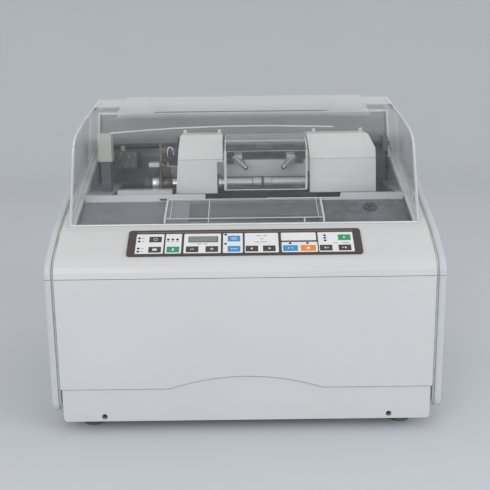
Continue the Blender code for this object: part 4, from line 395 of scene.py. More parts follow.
def painted_edge_highlight(name, colour, alpha):
    """Painted highlight: the bright rim of a clear sheet, where it carries light."""
    finish = Finish(name)
    streak = finish.noise(120.0, 3.0, (0.3, 1, 1))
    return finish.close(colour, 0.22, Alpha=streak * 0.3 + (alpha - 0.15), Coat_Weight=0.5)


def printed_film(name, colour, roughness=0.3):
    """Printed membrane: even ink under a finely grained matt film."""
    finish = Finish(name)
    wear = finish.noise(48.0, 3.0)
    shade = finish.blend(wear, toned(colour, -0.06), toned(colour, 0.07))
    return finish.close(shade, wear * 0.1 + (roughness - 0.05), finish.noise(2600.0), 0.00003, 0.3)


def lit_glass(name, colour, glow, strength):
    finish = Finish(name)
    bands = finish.noise(300.0, 2.0, (1, 0.1, 0.1))
    shade = finish.blend(bands, toned(colour, -0.05), toned(colour, 0.08))
    return finish.close(
        shade, 0.14, Emission_Color=solid(glow), Emission_Strength=strength, Coat_Weight=0.4
    )


# Modelling

def clear_selection():
    active = bpy.context.view_layer.objects.active
    if active and active.mode != "OBJECT":
        bpy.ops.object.mode_set(mode="OBJECT")
    bpy.ops.object.select_all(action="DESELECT")


def started(name):
    obj = bpy.context.active_object
    obj.name = name
    obj.data.name = name
    return obj


def applied(obj, scale=None, matrix=None):
    """Puts a piece's own turn and scale, and then a place, into its mesh."""
    if scale:
        obj.scale = scale
    bpy.ops.object.transform_apply(location=True, rotation=True, scale=True)
    if matrix:
        obj.data.transform(matrix)
    return obj


def chosen(obj, kind, test):
    """In edit mode, selects only the vertices, edges or faces that pass a test."""
    bpy.ops.mesh.select_mode(type={"verts": "VERT", "edges": "EDGE", "faces": "FACE"}[kind])
    bpy.ops.mesh.select_all(action="DESELECT")
    mesh = bmesh.from_edit_mesh(obj.data)
    for part in getattr(mesh, kind):
        if test(part):
            part.select_set(True)
    mesh.select_flush_mode()
    bmesh.update_edit_mesh(obj.data)


def modified(obj, kind, **settings):
    """Adds a modifier and applies it."""
    clear_selection()
    obj.select_set(True)
    bpy.context.view_layer.objects.active = obj
    modifier = obj.modifiers.new(kind.title(), kind)
    for key, value in settings.items():
        setattr(modifier, key, value)
    bpy.ops.object.modifier_apply(modifier=modifier.name)
    return obj


def joined(name, parts):
    clear_selection()
    for part in parts:
        part.select_set(True)
    bpy.context.view_layer.objects.active = parts[0]
    if len(parts) > 1:
        bpy.ops.object.join()
    return started(name)


def copied(obj, matrix):
    """A copy with its own mesh, moved by a matrix."""
    twin = obj.copy()
    twin.data = obj.data.copy()
    twin.data.transform(matrix)
    bpy.context.collection.objects.link(twin)
    return twin


def ready(obj, material, body, angle=35):
    """Gives a piece its finish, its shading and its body."""
    clear_selection()
    obj.select_set(True)
    bpy.context.view_layer.objects.active = obj
    bpy.ops.object.shade_smooth_by_angle(angle=math.radians(angle))
    obj.data.materials.clear()
    obj.data.materials.append(material)
    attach(obj, body)
    return obj


def block(name, low, high, edge=0.0006, segments=2):
    """Box between two corners, with its edges bevelled."""
    low = Vector(low)
    high = Vector(high)
    clear_selection()
    bpy.ops.mesh.primitive_cube_add(size=1, location=(low + high) / 2)
    obj = started(name)
    applied(obj, tuple(high - low))
    bpy.ops.object.mode_set(mode="EDIT")
    bpy.ops.mesh.select_all(action="SELECT")
    bpy.ops.mesh.bevel(offset=edge, segments=segments, affect="EDGES")
    bpy.ops.object.mode_set(mode="OBJECT")
    return obj


def turned(name, length, radius, spot, axis="x", sides=32, edge=0.0005):
    """Disc or pin about an axis, with its rims bevelled."""
    clear_selection()
    bpy.ops.mesh.primitive_cylinder_add(vertices=sides, radius=radius, depth=length)
    obj = started(name)
    bpy.ops.object.mode_set(mode="EDIT")
    chosen(obj, "edges", lambda e: abs(e.verts[0].co.z - e.verts[1].co.z) < length / 4)
    bpy.ops.mesh.bevel(offset=edge, segments=2, affect="EDGES")
    bpy.ops.object.mode_set(mode="OBJECT")
    turn = {
        "x": Matrix.Rotation(math.pi / 2, 4, "Y"),
        "y": Matrix.Rotation(math.pi / 2, 4, "X"),
        "z": Matrix.Identity(4),
    }[axis]
    obj.data.transform(Matrix.Translation(spot) @ turn)
    return obj


def ring(name, radius, thick, spot, axis="x", sides=36):
    clear_selection()
    bpy.ops.mesh.primitive_torus_add(
        major_radius=radius, minor_radius=thick, major_segments=sides, minor_segments=10
    )
    obj = started(name)
    turn = Matrix.Rotation(math.pi / 2, 4, "Y") if axis == "x" else Matrix.Identity(4)
    if axis == "y":
        turn = Matrix.Rotation(math.pi / 2, 4, "X")
    obj.data.transform(Matrix.Translation(spot) @ turn)
    return obj


def bead(name, points, radius, closed=False, sides=4):
    """Round bead along a run of points."""
    curve = bpy.data.curves.new(name, "CURVE")
    curve.dimensions = "3D"
    curve.bevel_depth = radius
    curve.bevel_resolution = sides
    curve.use_fill_caps = True
    spline = curve.splines.new("POLY")
    spline.points.add(len(points) - 1)
    for point, where in zip(spline.points, points):
        point.co = (*where, 1)
    spline.use_cyclic_u = closed
    obj = bpy.data.objects.new(name, curve)
    bpy.context.collection.objects.link(obj)
    clear_selection()
    obj.select_set(True)
    bpy.context.view_layer.objects.active = obj
    bpy.ops.object.convert(target="MESH")
    return started(name)


def rounded(corners, closed=True, step=math.radians(10)):
    """Points of an outline, with each (u, v, radius) corner as an arc."""
    points = []
    last = len(corners) - 1
    for index, (u, v, radius) in enumerate(corners):
        corner = Vector((u, v))
        if radius <= 0 or (not closed and index in (0, last)):
            points.append(corner)
            continue
        before = (Vector(corners[index - 1][:2]) - corner).normalized()
        after = (Vector(corners[(index + 1) % len(corners)][:2]) - corner).normalized()
        half = before.angle(after) / 2
        centre = corner + (before + after).normalized() * (radius / math.sin(half))
        start = corner + before * (radius / math.tan(half)) - centre
        turn = math.pi - 2 * half
        end = corner + after * (radius / math.tan(half)) - centre
        if start.x * end.y < start.y * end.x:
            turn = -turn
        steps = max(2, round(abs(turn) / step))
        points += [centre + Matrix.Rotation(turn * k / steps, 2) @ start for k in range(steps + 1)]
    return points


def joined_beads(name, runs, material, body):
    """One piece from several beads, each with its run of points and its radius."""
    beads = [bead(name, run, radius, closed) for run, radius, closed in runs]
    return ready(joined(name, beads), material, body, 60)


def screw_head(name, spot, axis, radius, drive=None):
    """Low round screw head with a cross recess pressed in by a boolean."""
    head = turned(name, radius * 0.9, radius, spot, axis, 24, radius * 0.22)
    along = {"x": 0, "y": 1, "z": 2}[axis]
    for turn in (0, 1):
        reach = [radius * 1.3, radius * 0.26]
        if turn:
            reach.reverse()
        size = reach[:]
        size.insert(along, radius * 1.2)
        low = Vector(spot) - Vector(size) / 2
        high = Vector(spot) + Vector(size) / 2
        shift = Vector((0, 0, 0))
        shift[along] = (-1 if axis == "y" and spot[1] < 0 else 1) * radius * 0.8
        slot = block(name + "_recess", low + shift, high + shift, radius * 0.03, 1)
        modified(head, "BOOLEAN", object=slot, operation="DIFFERENCE", solver="EXACT")
        clear_selection()
        slot.select_set(True)
        bpy.ops.object.delete()
    return head


def drop_in(node, material):
    """Gives a CAD node its finish."""
    obj = NODES[node]
    obj.data.materials.clear()
    obj.data.materials.append(material)


# Keypad slope

OVERLAY_OUT = Vector((0, -math.sin(SLOPE), math.cos(SLOPE)))
OVERLAY_UP = Vector((0, math.cos(SLOPE), math.sin(SLOPE)))
OVERLAY_MIDDLE = (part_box("keypad_overlay")[0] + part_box("keypad_overlay")[1]) / 2


def on_slope(x, up, height):
    """Matrix of a spot in the slope's plane, at a height along its normal from the origin."""
    level = OVERLAY_MIDDLE.dot(OVERLAY_UP) + up
    spot = OVERLAY_UP * level + OVERLAY_OUT * height
    return Matrix.Translation((x, spot.y, spot.z)) @ Matrix.Rotation(SLOPE, 4, "X")


def printed(name, shape, width, height, matrix, corner=0.0, turn=0.0):
    """Thin raised print: a plate, a disc or a triangle, laid by a matrix."""
    clear_selection()
    if shape == "plate":
        bpy.ops.mesh.primitive_plane_add(size=1)
    else:
        sides = {"disc": 24, "triangle": 3}[shape]
        bpy.ops.mesh.primitive_circle_add(vertices=sides, radius=0.5, fill_type="NGON")
    obj = started(name)
    bpy.ops.object.transform_apply(location=True, rotation=True, scale=True)
    if shape == "triangle":
        obj.data.transform(Matrix.Rotation(-math.pi / 2, 4, "Z"))
    applied(obj, (width, height, 1))
    if corner:
        bpy.ops.object.mode_set(mode="EDIT")
        bpy.ops.mesh.select_all(action="SELECT")
        bpy.ops.mesh.bevel(offset=corner, segments=4, affect="VERTICES")
        bpy.ops.object.mode_set(mode="OBJECT")
    modified(obj, "SOLIDIFY", thickness=PRINT_THICK, offset=0.0)
    obj.data.transform(matrix @ Matrix.Rotation(turn, 4, "Z"))
    return obj


# Settings

class CasingSettings(bpy.types.PropertyGroup):
    white: bpy.props.FloatVectorProperty(
        name="Casing", description="Colour of the body and base", subtype="COLOR", default=(0.60, 0.60, 0.61)
    )
    fascia: bpy.props.FloatVectorProperty(
        name="Fascia", description="Colour of the sloping top", subtype="COLOR", default=(0.60, 0.60, 0.60)
    )
    cover: bpy.props.FloatVectorProperty(
        name="Side covers", description="Colour of the side covers", subtype="COLOR", default=(0.53, 0.55, 0.57)
    )
    tray: bpy.props.FloatVectorProperty(
        name="Tray", description="Colour of the deck tray", subtype="COLOR", default=(0.100, 0.112, 0.124)
    )
    roughness: bpy.props.FloatProperty(
        name="Roughness", description="Roughness of the white mouldings", subtype="FACTOR", default=0.36, min=0, max=1
    )


class HoodSettings(bpy.types.PropertyGroup):
    tint: bpy.props.FloatVectorProperty(
        name="Tint", description="Colour of the clear mouldings", subtype="COLOR", default=(0.84, 0.87, 0.89)
    )
    body: bpy.props.FloatProperty(
        name="Veil", description="How milky the clear sheet is from in front", subtype="FACTOR", default=0.030, min=0, max=1
    )
    rim: bpy.props.FloatProperty(
        name="Rim", description="How milky it turns at a grazing angle", subtype="FACTOR", default=0.36, min=0, max=1
    )
    bead: bpy.props.FloatProperty(
        name="Bead", description="Radius of the bright rims", unit="LENGTH", default=0.0014, min=0.0005, max=0.003
    )


class KeypadSettings(bpy.types.PropertyGroup):
    film: bpy.props.FloatVectorProperty(
        name="Film", description="Colour of the keypad's border", subtype="COLOR", default=(0.060, 0.045, 0.040)
    )
    window: bpy.props.FloatVectorProperty(
        name="Windows", description="Colour of the pale windows", subtype="COLOR", default=(0.74, 0.75, 0.77)
    )
    corner: bpy.props.FloatProperty(
        name="Corner", description="Corner radius of the windows", unit="LENGTH", default=0.0015, min=0.0005, max=0.003
    )


class StageSettings(bpy.types.PropertyGroup):
    floor: bpy.props.FloatVectorProperty(
        name="Floor", description="Colour of the floor", subtype="COLOR", default=(0.60, 0.63, 0.67)
    )
    sky: bpy.props.FloatProperty(
        name="Sky", description="Strength of the even light", default=0.72, min=0, max=2
    )
    key: bpy.props.FloatProperty(
        name="Key light", description="Power of the main lamp", unit="POWER", default=21.0, min=0, max=200
    )


# Pieces

class EDGER_OT_casing(bpy.types.Operator):
    """Finish the white casing, the side covers, the trays and the feet"""

    bl_idname = "edger.casing"
    bl_label = "Casing"

    def execute(self, context):
        looks = context.scene.edger_casing
        white = moulded_plastic("casing_plastic", looks.white, looks.roughness)
        for node in ("base_pan", "front_panel", "rear_housing"):
            drop_in(node, white)
        drop_in("top_fascia", moulded_plastic("fascia_plastic", looks.fascia, looks.roughness))
        cover = seamed_plastic("side_cover_plastic", looks.cover, looks.roughness, SEAM, 0.0009)
        for node in ("left_side_cover", "right_side_cover"):
            drop_in(node, cover)
        drop_in("deck_tray", stained_tray("tray_plastic", looks.tray, (0.42, 0.43, 0.44), (0.27, 0.28, 0.29)))
        drop_in("grinding_basin", stained_tray("basin_plastic", looks.tray, looks.tray, looks.tray))
        rubber = soft_rubber("foot_rubber", (0.075, 0.085, 0.065))
        for node in ("left_front_foot", "left_rear_foot", "right_front_foot", "right_rear_foot"):
            drop_in(node, rubber)
        drop_in("chassis", cast_metal("frame_paint", (0.12, 0.12, 0.13), 0.5, 0.0))
        drop_in("inner_back_panel", dark_moulding("back_panel_plastic", (0.082, 0.087, 0.096), 0.40))
        return {"FINISHED"}


class EDGER_OT_hood(bpy.types.Operator):
    """Finish the clear hood, with painted highlights on its rims and its bend, and a painted shadow line on its roof
    """

    bl_idname = "edger.hood"
    bl_label = "Hood"

    def execute(self, context):
        looks = context.scene.edger_hood
        clear = clear_moulding("clear_plastic", looks.tint, looks.body, looks.rim, 0.06, HOOD_HALF - 0.004)
        drop_in("hood", clear)
        # Painted highlights: pale beads along the hood's rims stand in for the light that its thick clear edges carry
        rim = painted_edge_highlight("clear_rim", (0.90, 0.92, 0.93), 0.62)
        outline = rounded(HOOD_CORNERS)
        beads = []
        for side in (-1, 1):
            x = side * (HOOD_HALF - looks.bead)
            centre = Vector((0.23, 0.15))
            run = []
            for point in outline:
                inward = (centre - point).normalized() * looks.bead
                run.append(place(x, *(point + inward)))
            beads.append(bead("hood_side_rim", run, looks.bead, True))
        front = HOOD_CORNERS[0]
        low = place(looks.bead - HOOD_HALF, front[0] + looks.bead, front[1] + looks.bead)
        high = place(HOOD_HALF - looks.bead, front[0] + looks.bead, front[1] + looks.bead)
        beads.append(bead("hood_front_rim", [low, high], looks.bead))
        ready(joined("hood_rims", beads), rim, "hood", 60)
        # Painted highlight: a pale bead along the hood's bend stands in for the light that the bend catches
        crease = []
        for x, behind in ((-0.205, 0.165), (-0.16, 0.175), (-0.105, 0.185), (-0.03, 0.1915), (0.045, 0.1915), (0.14, 0.184)):
            crease.append(place(x, behind, 0.1792 + (behind - 0.131) * 0.25))
        soft = painted_edge_highlight("clear_crease", (0.84, 0.86, 0.88), 0.42)
        joined_beads("hood_crease", [(crease, 0.0012, False)], soft, "hood")
        # Painted shadow: a thin dark bead stands in for the hinge gap's shadow, seen through the roof
        run = [place(-0.145, 0.2535, 0.2138), place(0.137, 0.2535, 0.2138)]
        shade = moulded_plastic("slit_shade", (0.16, 0.17, 0.18), 0.4)
        joined_beads("hood_slit", [(run, 0.0006, False)], shade, "hood")
        steel = ground_steel("hinge_steel", (0.55, 0.56, 0.58), 0.3)
        drop_in("hood_hinge", steel)
        return {"FINISHED"}


class EDGER_OT_guards(bpy.types.Operator):
    """Finish the lens guard and the splash flap, and give their rims painted highlights"""

    bl_idname = "edger.guards"
    bl_label = "Clear guards"

    def execute(self, context):
        looks = context.scene.edger_hood
        clear = clear_moulding("clear_guard", looks.tint, 0.022, 0.34, 0.05, brow=GUARD_BROW)
        drop_in("lens_guard", clear)
        drop_in("splash_flap", clear)
        # Painted highlights: pale beads along the rims of the guard and the flap
        rim = painted_edge_highlight("guard_rim", (0.88, 0.90, 0.92), 0.55)
        low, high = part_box("lens_guard")
        left = low.x + 0.001
        right = high.x - 0.001
        front = low.y + 0.001 - BODY_FRONT
        foot = low.z + 0.001 - SEAM
        profile = ((front, foot), (front, 0.158), (0.1805, 0.1722), (0.231, 0.1788), (0.2485, 0.168))
        runs = []
        for x, radius in ((left, 0.0022), (right, 0.0016)):
            runs.append(([place(x, *point) for point in profile[:2]], radius, False))
            runs.append(([place(x, *point) for point in profile[1:]], 0.0009, False))
        for point, radius in ((profile[0], 0.0007), (profile[1], 0.0003), (profile[2], 0.0006)):
            runs.append(([place(left, *point), place(right, *point)], radius, False))
        joined_beads("guard_rims", runs, rim, "head")
        runs = []
        for x in (-FLAP_HALF, FLAP_HALF):
            inner = x * (1 - 0.0075 / FLAP_HALF)
            runs.append(([place(x, *FLAP_FOOT), place(x, *FLAP_BEND), place(x, *FLAP_REAR)], 0.0017, False))
            runs.append(([place(inner, *FLAP_BEND), place(inner, *FLAP_REAR)], 0.0007, False))
        runs.append(([place(-FLAP_HALF, *FLAP_BEND), place(FLAP_HALF, *FLAP_BEND)], 0.0008, False))
        runs.append(([place(-FLAP_HALF, *FLAP_REAR), place(FLAP_HALF, *FLAP_REAR)], 0.0006, False))
        runs.append(([place(-0.053, *FLAP_FOOT), place(-0.053, *FLAP_BEND), place(-0.053, *FLAP_REAR)], 0.0008, False))
        runs.append(([place(0.089, *FLAP_FOOT), place(0.089, *FLAP_BEND)], 0.0012, False))
        joined_beads("flap_rims", runs, rim, "housing")
        return {"FINISHED"}


class EDGER_OT_keypad(bpy.types.Operator):
    """Print the membrane keypad: windows, captions, lamps, display and key marks"""

    bl_idname = "edger.keypad"
    bl_label = "Keypad"

    KEY_MARKS = {
        "key_lens": (("ring", 0, 0, 0.0052, 0.0052, 0),),
        "key_pattern": (("plate", 0, 0, 0.0060, 0.0042, 0),),
        "key_mode": (("plate", 0, 0.0013, 0.0082, 0.0010, 0), ("plate", 0, -0.0013, 0.0082, 0.0010, 0)),
        "key_start": (("triangle", -0.0002, 0, 0.0050, 0.0050, 0),),
        "key_water": (("disc", 0, -0.0005, 0.0038, 0.0038, 0), ("triangle", 0, 0.0016, 0.0030, 0.0030, math.pi / 2)),
        "key_minus": (("plate", 0, 0, 0.0056, 0.0010, 0),),
        "key_plus": (("plate", 0, 0, 0.0056, 0.0010, 0), ("plate", 0, 0.0016, 0.0010, 0.0022, 0),
                     ("plate", 0, -0.0016, 0.0010, 0.0022, 0)),
        "key_size": (("triangle", 0.0034, 0, 0.0030, 0.0036, 0), ("triangle", -0.0034, 0, 0.0030, 0.0036, math.pi),
                     ("plate", 0, 0, 0.0042, 0.0009, 0)),
        "key_left": (("triangle", -0.0002, 0, 0.0046, 0.0052, math.pi),),
        "key_right": (("triangle", 0.0002, 0, 0.0046, 0.0052, 0),),
        "key_clamp": (("triangle", -0.0026, 0, 0.0030, 0.0040, 0), ("triangle", 0.0026, 0, 0.0030, 0.0040, math.pi)),
        "key_stop": (("plate", 0, 0, 0.0044, 0.0044, 0),),
        "key_traverse_left": (("triangle", -0.0010, 0, 0.0042, 0.0048, math.pi), ("plate", 0.0026, 0, 0.0030, 0.0010, 0)),
        "key_traverse_right": (("triangle", 0.0010, 0, 0.0042, 0.0048, 0), ("plate", -0.0026, 0, 0.0030, 0.0010, 0)),
    }
    CAPTIONS = (
        (-0.1443, 0.0096, 0.0040), (-0.1443, 0.0029, 0.0032), (-0.1443, -0.0116, 0.0040), (-0.1443, -0.0179, 0.0032),
        (-0.1086, 0.0024, 0.0040), (-0.1021, 0.0024, 0.0040), (-0.0956, 0.0024, 0.0040),
        (-0.0640, -0.0036, 0.0070), (-0.0556, -0.0036, 0.0060),
        (0.0200, 0.0118, 0.0070), (0.0290, 0.0118, 0.0050), (0.0246, 0.0060, 0.0050),
        (0.0170, -0.0010, 0.0060), (0.0268, -0.0010, 0.0110),
        (0.1290, -0.0046, 0.0060), (0.1430, -0.0046, 0.0100),
    )

    def execute(self, context):
        looks = context.scene.edger_keypad
        drop_in("keypad_overlay", printed_film("overlay_film", looks.film, 0.34))
        inks = {
            "brown": (0.055, 0.042, 0.038),
            "blue": (0.030, 0.270, 0.560),
            "green": (0.015, 0.300, 0.130),
            "orange": (0.800, 0.230, 0.015),
        }
        for node, ink in (
            ("key_lens", "brown"), ("key_mode", "blue"), ("key_start", "green"), ("key_pattern", "brown"),
            ("key_water", "green"), ("key_minus", "brown"), ("key_plus", "brown"), ("key_size", "blue"),
            ("key_left", "brown"), ("key_right", "brown"), ("key_clamp", "blue"), ("key_stop", "orange"),
            ("key_traverse_left", "brown"), ("key_traverse_right", "brown"),
        ):
            name = "key_film_" + ink
            drop_in(node, bpy.data.materials.get(name) or printed_film(name, inks[ink], 0.28))
        top = top_of("keypad_overlay", OVERLAY_OUT)
        panes = []
        for left, right, low, high in WINDOWS:
            spot = on_slope((left + right) / 2, (low + high) / 2, top)
            panes.append(printed("pane", "plate", right - left, high - low, spot, looks.corner))
        pane = printed_film("window_film", looks.window, 0.3)
        windows = joined("keypad_windows", panes)
        holes = joined("key_holes", [self.key_hole(key, top) for key in self.KEY_MARKS])
        modified(windows, "BOOLEAN", object=holes, operation="DIFFERENCE", solver="EXACT")
        bpy.data.objects.remove(holes)
        ready(windows, pane, "housing")
        level = top + PRINT_THICK / 2
        band = printed("keypad_band", "plate", 0.309, 0.0024, on_slope(0.0004, 0.0214, top))
        ready(band, printed_film("band_ink", (0.15, 0.125, 0.115), 0.3), "housing")
        bars = [printed("bar", "plate", width, 0.0009, on_slope(x, up, level)) for x, up, width in self.CAPTIONS]
        dark = printed_film("caption_ink", (0.16, 0.16, 0.17), 0.35)
        ready(joined("keypad_captions", bars), dark, "housing")
        lamps = []
        for x, up in LAMPS:
            lamps.append(printed("lamp", "disc", 2 * LAMP_RADIUS, 2 * LAMP_RADIUS, on_slope(x, up, level)))
        lens = lit_glass("lamp_lens", (0.035, 0.018, 0.016), (0.5, 0.02, 0.01), 0.0)
        ready(joined("keypad_lamps", lamps), lens, "housing")
        self.show_display(level)
        self.mark_keys()
        return {"FINISHED"}

    def show_display(self, level):
        x, up, width, height = DISPLAY
        border = printed("display_border", "plate", width, height, on_slope(x, up, level), 0.0008)
        ready(border, printed_film("display_border_ink", (0.10, 0.105, 0.105), 0.3), "housing")
        inner = level + PRINT_THICK / 2
        glass = printed("display_glass", "plate", width - 0.003, height - 0.003, on_slope(x, up, inner), 0.0006)
        ready(glass, lit_glass("display_screen", (0.21, 0.23, 0.22), (0, 0, 0), 0.0), "housing")

    def key_hole(self, key, top):
        """Cutter a little larger than a key, so that the key can sink into the print."""
        places = [vertex.co for vertex in NODES[key].data.vertices]
        across = [spot.x for spot in places]
        rise = [(spot - OVERLAY_MIDDLE).dot(OVERLAY_UP) for spot in places]
        wide = max(across) - min(across) + KEY_GAP
        high = max(rise) - min(rise) + KEY_GAP
        hole = printed("key_hole", "plate", wide, high, Matrix.Identity(4))
        spot = on_slope((max(across) + min(across)) / 2, (max(rise) + min(rise)) / 2, top)
        hole.data.transform(spot @ Matrix.Diagonal((1, 1, 3, 1)))
        return hole

    def mark_keys(self):
        pale = printed_film("mark_ink", (0.70, 0.71, 0.72), 0.3)
        for key, shapes in self.KEY_MARKS.items():
            low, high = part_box(key)
            middle = (low + high) / 2
            level = top_of(key, OVERLAY_OUT)
            up = middle.dot(OVERLAY_UP) - OVERLAY_MIDDLE.dot(OVERLAY_UP)
            marks = []
            for shape, x, rise, width, height, turn in shapes:
                spot = on_slope(middle.x + x, up + rise, level)
                if shape == "ring":
                    mark = ring("mark", width / 2, PRINT_THICK, (0, 0, PRINT_THICK / 2), "z", 24)
                    mark.data.transform(spot)
                else:
                    mark = printed("mark", shape, width, height, spot, 0.0, turn)
                marks.append(mark)
            ready(joined(key + "_mark", marks), pale, key)


class EDGER_OT_head(bpy.types.Operator):
    """Finish the swinging head, its shafts, the pattern side and the water nozzles"""

    bl_idname = "edger.head"
    bl_label = "Head"

    def execute(self, context):
        cover = seamed_plastic("head_cover_plastic", (0.58, 0.58, 0.57), 0.44, SEAM + 0.144, 0.0006)
        for node in ("left_head_cover", "right_head_cover"):
            drop_in(node, cover)
        drop_in("sensor_post", capped_post("sensor_post_plastic", (0.050, 0.058, 0.072), (0.37, 0.37, 0.34)))
        cast = cast_metal("cast_aluminium", (0.50, 0.51, 0.52))
        drop_in("spindle_housing", cast)
        drop_in("head_yoke", cast_metal("yoke_paint", (0.60, 0.60, 0.59), 0.46, 0.2))
        drop_in("saddle", cast_metal("saddle_paint", (0.045, 0.047, 0.050), 0.45, 0.0))
        steel = ground_steel("shaft_steel", (0.60, 0.61, 0.61), 0.26)
        for node in ("drive_shaft", "clamp_quill", "clamp_shaft", "guide_shaft", "wheel_spindle"):
            drop_in(node, steel)
        plated = ground_steel("plated_brass", (0.56, 0.56, 0.55), 0.22)
        for node in ("left_nozzle", "right_nozzle"):
            drop_in(node, plated)
        drop_in("motor_pulley", cast_metal("pulley_aluminium", (0.58, 0.59, 0.60), 0.34))
        drop_in("grinding_motor", cast_metal("motor_paint", (0.09, 0.095, 0.10), 0.5, 0.0))
        drop_in("pattern_bracket", brass_sheet("bracket_brass", (0.17, 0.14, 0.09)))
        drop_in("hose_fittings", brass_sheet("hose_brass", (0.55, 0.38, 0.17)))
        rubber = soft_rubber("belt_rubber", (0.02, 0.02, 0.021))
        for node in ("drive_belt", "lens_pad"):
            drop_in(node, rubber)
        stone = bonded_stone("grinding_stone", (0.20, 0.13, 0.085))
        for node in ("roughing_wheel", "bevel_wheel"):
            drop_in(node, stone)
        dark = dark_moulding("dark_plastic", (0.045, 0.048, 0.052))
        for node in ("template_rest", "power_inlet", "power_rocker", "pattern_knob"):
            drop_in(node, dark)
        drop_in("size_block", mottled_block("size_block_plastic", (0.045, 0.050, 0.058), (0.16, 0.17, 0.19), (0.33, 0.31, 0.24)))
        return {"FINISHED"}


class EDGER_OT_fittings(bpy.types.Operator):
    """Add the gaskets, screws and small fittings of the casing, the deck and the rear"""

    bl_idname = "edger.fittings"
    bl_label = "Casing fittings"

    def execute(self, context):
        outline = rounded(CASING_CORNERS)
        middle = Vector((0.236, -0.02))
        runs = []
        for x in (-GAP_MIDDLE, GAP_MIDDLE):
            run = []
            for point in outline:
                inward = Vector((middle.x - point.x, middle.y - point.y))
                reach = 0.0026 / max(abs(inward.normalized().x), abs(inward.normalized().y))
                run.append(place(x, *(point + inward.normalized() * reach)))
            runs.append((run, GASKET_RADIUS, True))
        seal = soft_rubber("gasket_rubber", (0.31, 0.31, 0.31))
        joined_beads("side_gaskets", runs, seal, "housing")
        strips = []
        for side in (-1, 1):
            left, right = sorted((side * 0.2641, side * 0.2662))
            strips.append(block("gap_strip", place(left, 0.0045, -0.2000), place(right, 0.0100, -0.1635), 0.0003))
        grey = moulded_plastic("gap_strip_plastic", (0.42, 0.42, 0.42))
        ready(joined("gap_strips", strips), grey, "housing")
        self.fit_base_seam()
        self.fit_deck()
        self.fit_screws()
        self.fit_rear()
        return {"FINISHED"}

    def fit_base_seam(self):
        """Shadow line along the base pan's arched top edge, under the front panel."""
        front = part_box("base_pan")[0].y
        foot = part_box("front_panel")[0].z - 0.002
        places = [vertex.co for vertex in NODES["base_pan"].data.vertices]
        edge = sorted((spot.x, spot.z) for spot in places if spot.y < front + 0.0005 and spot.z > foot)
        run = [Vector((x, front - 0.0002, height)) for x, height in edge]
        line = dark_moulding("seam_shadow", (0.22, 0.22, 0.22))
        joined_beads("base_seam", [(run, 0.0005, False)], line, "housing")

    def fit_deck(self):
        black = dark_moulding("black_moulding", (0.012, 0.012, 0.013))
        slot = block("rim_slot", place(-0.130, 0.1484, 0.0852), place(-0.1165, 0.1506, 0.0874), 0.0003)
        ready(slot, black, "housing")
        tilt = Matrix.Rotation(math.atan(0.398), 4, "X")
        plug = turned("drain_plug", 0.0024, 0.0090, (0, 0, 0), "z", 32, 0.0006)
        rim = ring("drain_plug_rim", 0.0092, 0.0012, (0, 0, 0.0006), "z")
        knob = turned("drain_plug_knob", 0.0030, 0.0030, (0, 0, 0.0020), "z", 24, 0.0008)
        plug = joined("drain_plug", [plug, rim, knob])
        plug.data.transform(Matrix.Translation(place(0.1915, 0.125, 0.0756)) @ tilt)
        ready(plug, dark_moulding("plug_rubber", (0.030, 0.034, 0.040)), "housing")
        lip = moulded_plastic("lip_plastic", (0.62, 0.62, 0.61), 0.3)
        run = [place(0.036, 0.1502, 0.0862), place(0.148, 0.1502, 0.0862), place(0.1505, 0.1512, 0.0930)]
        joined_beads("deck_lip", [(run, 0.0009, False)], lip, "housing")

    def fit_screws(self):
        steel = ground_steel("screw_steel", (0.16, 0.165, 0.17), 0.3)
        heads = []
        for x in (-0.205, 0.205):
            heads.append(screw_head("base_screw", Vector((x, BODY_FRONT + 0.0095, 0.024)), "y", 0.0036))
        ready(joined("base_screws", heads), steel, "housing", 40)

    def fit_rear(self):
        low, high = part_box("rear_housing")
        steel = bpy.data.materials["screw_steel"]
        heads = []
        for x in (-0.245, 0.0, 0.245):
            for z in (low.z + 0.014, SEAM + 0.060):
                heads.append(screw_head("rear_screw", Vector((x, high.y + 0.0010, z)), "y", 0.0036))
        ready(joined("rear_screws", heads), steel, "housing", 40)


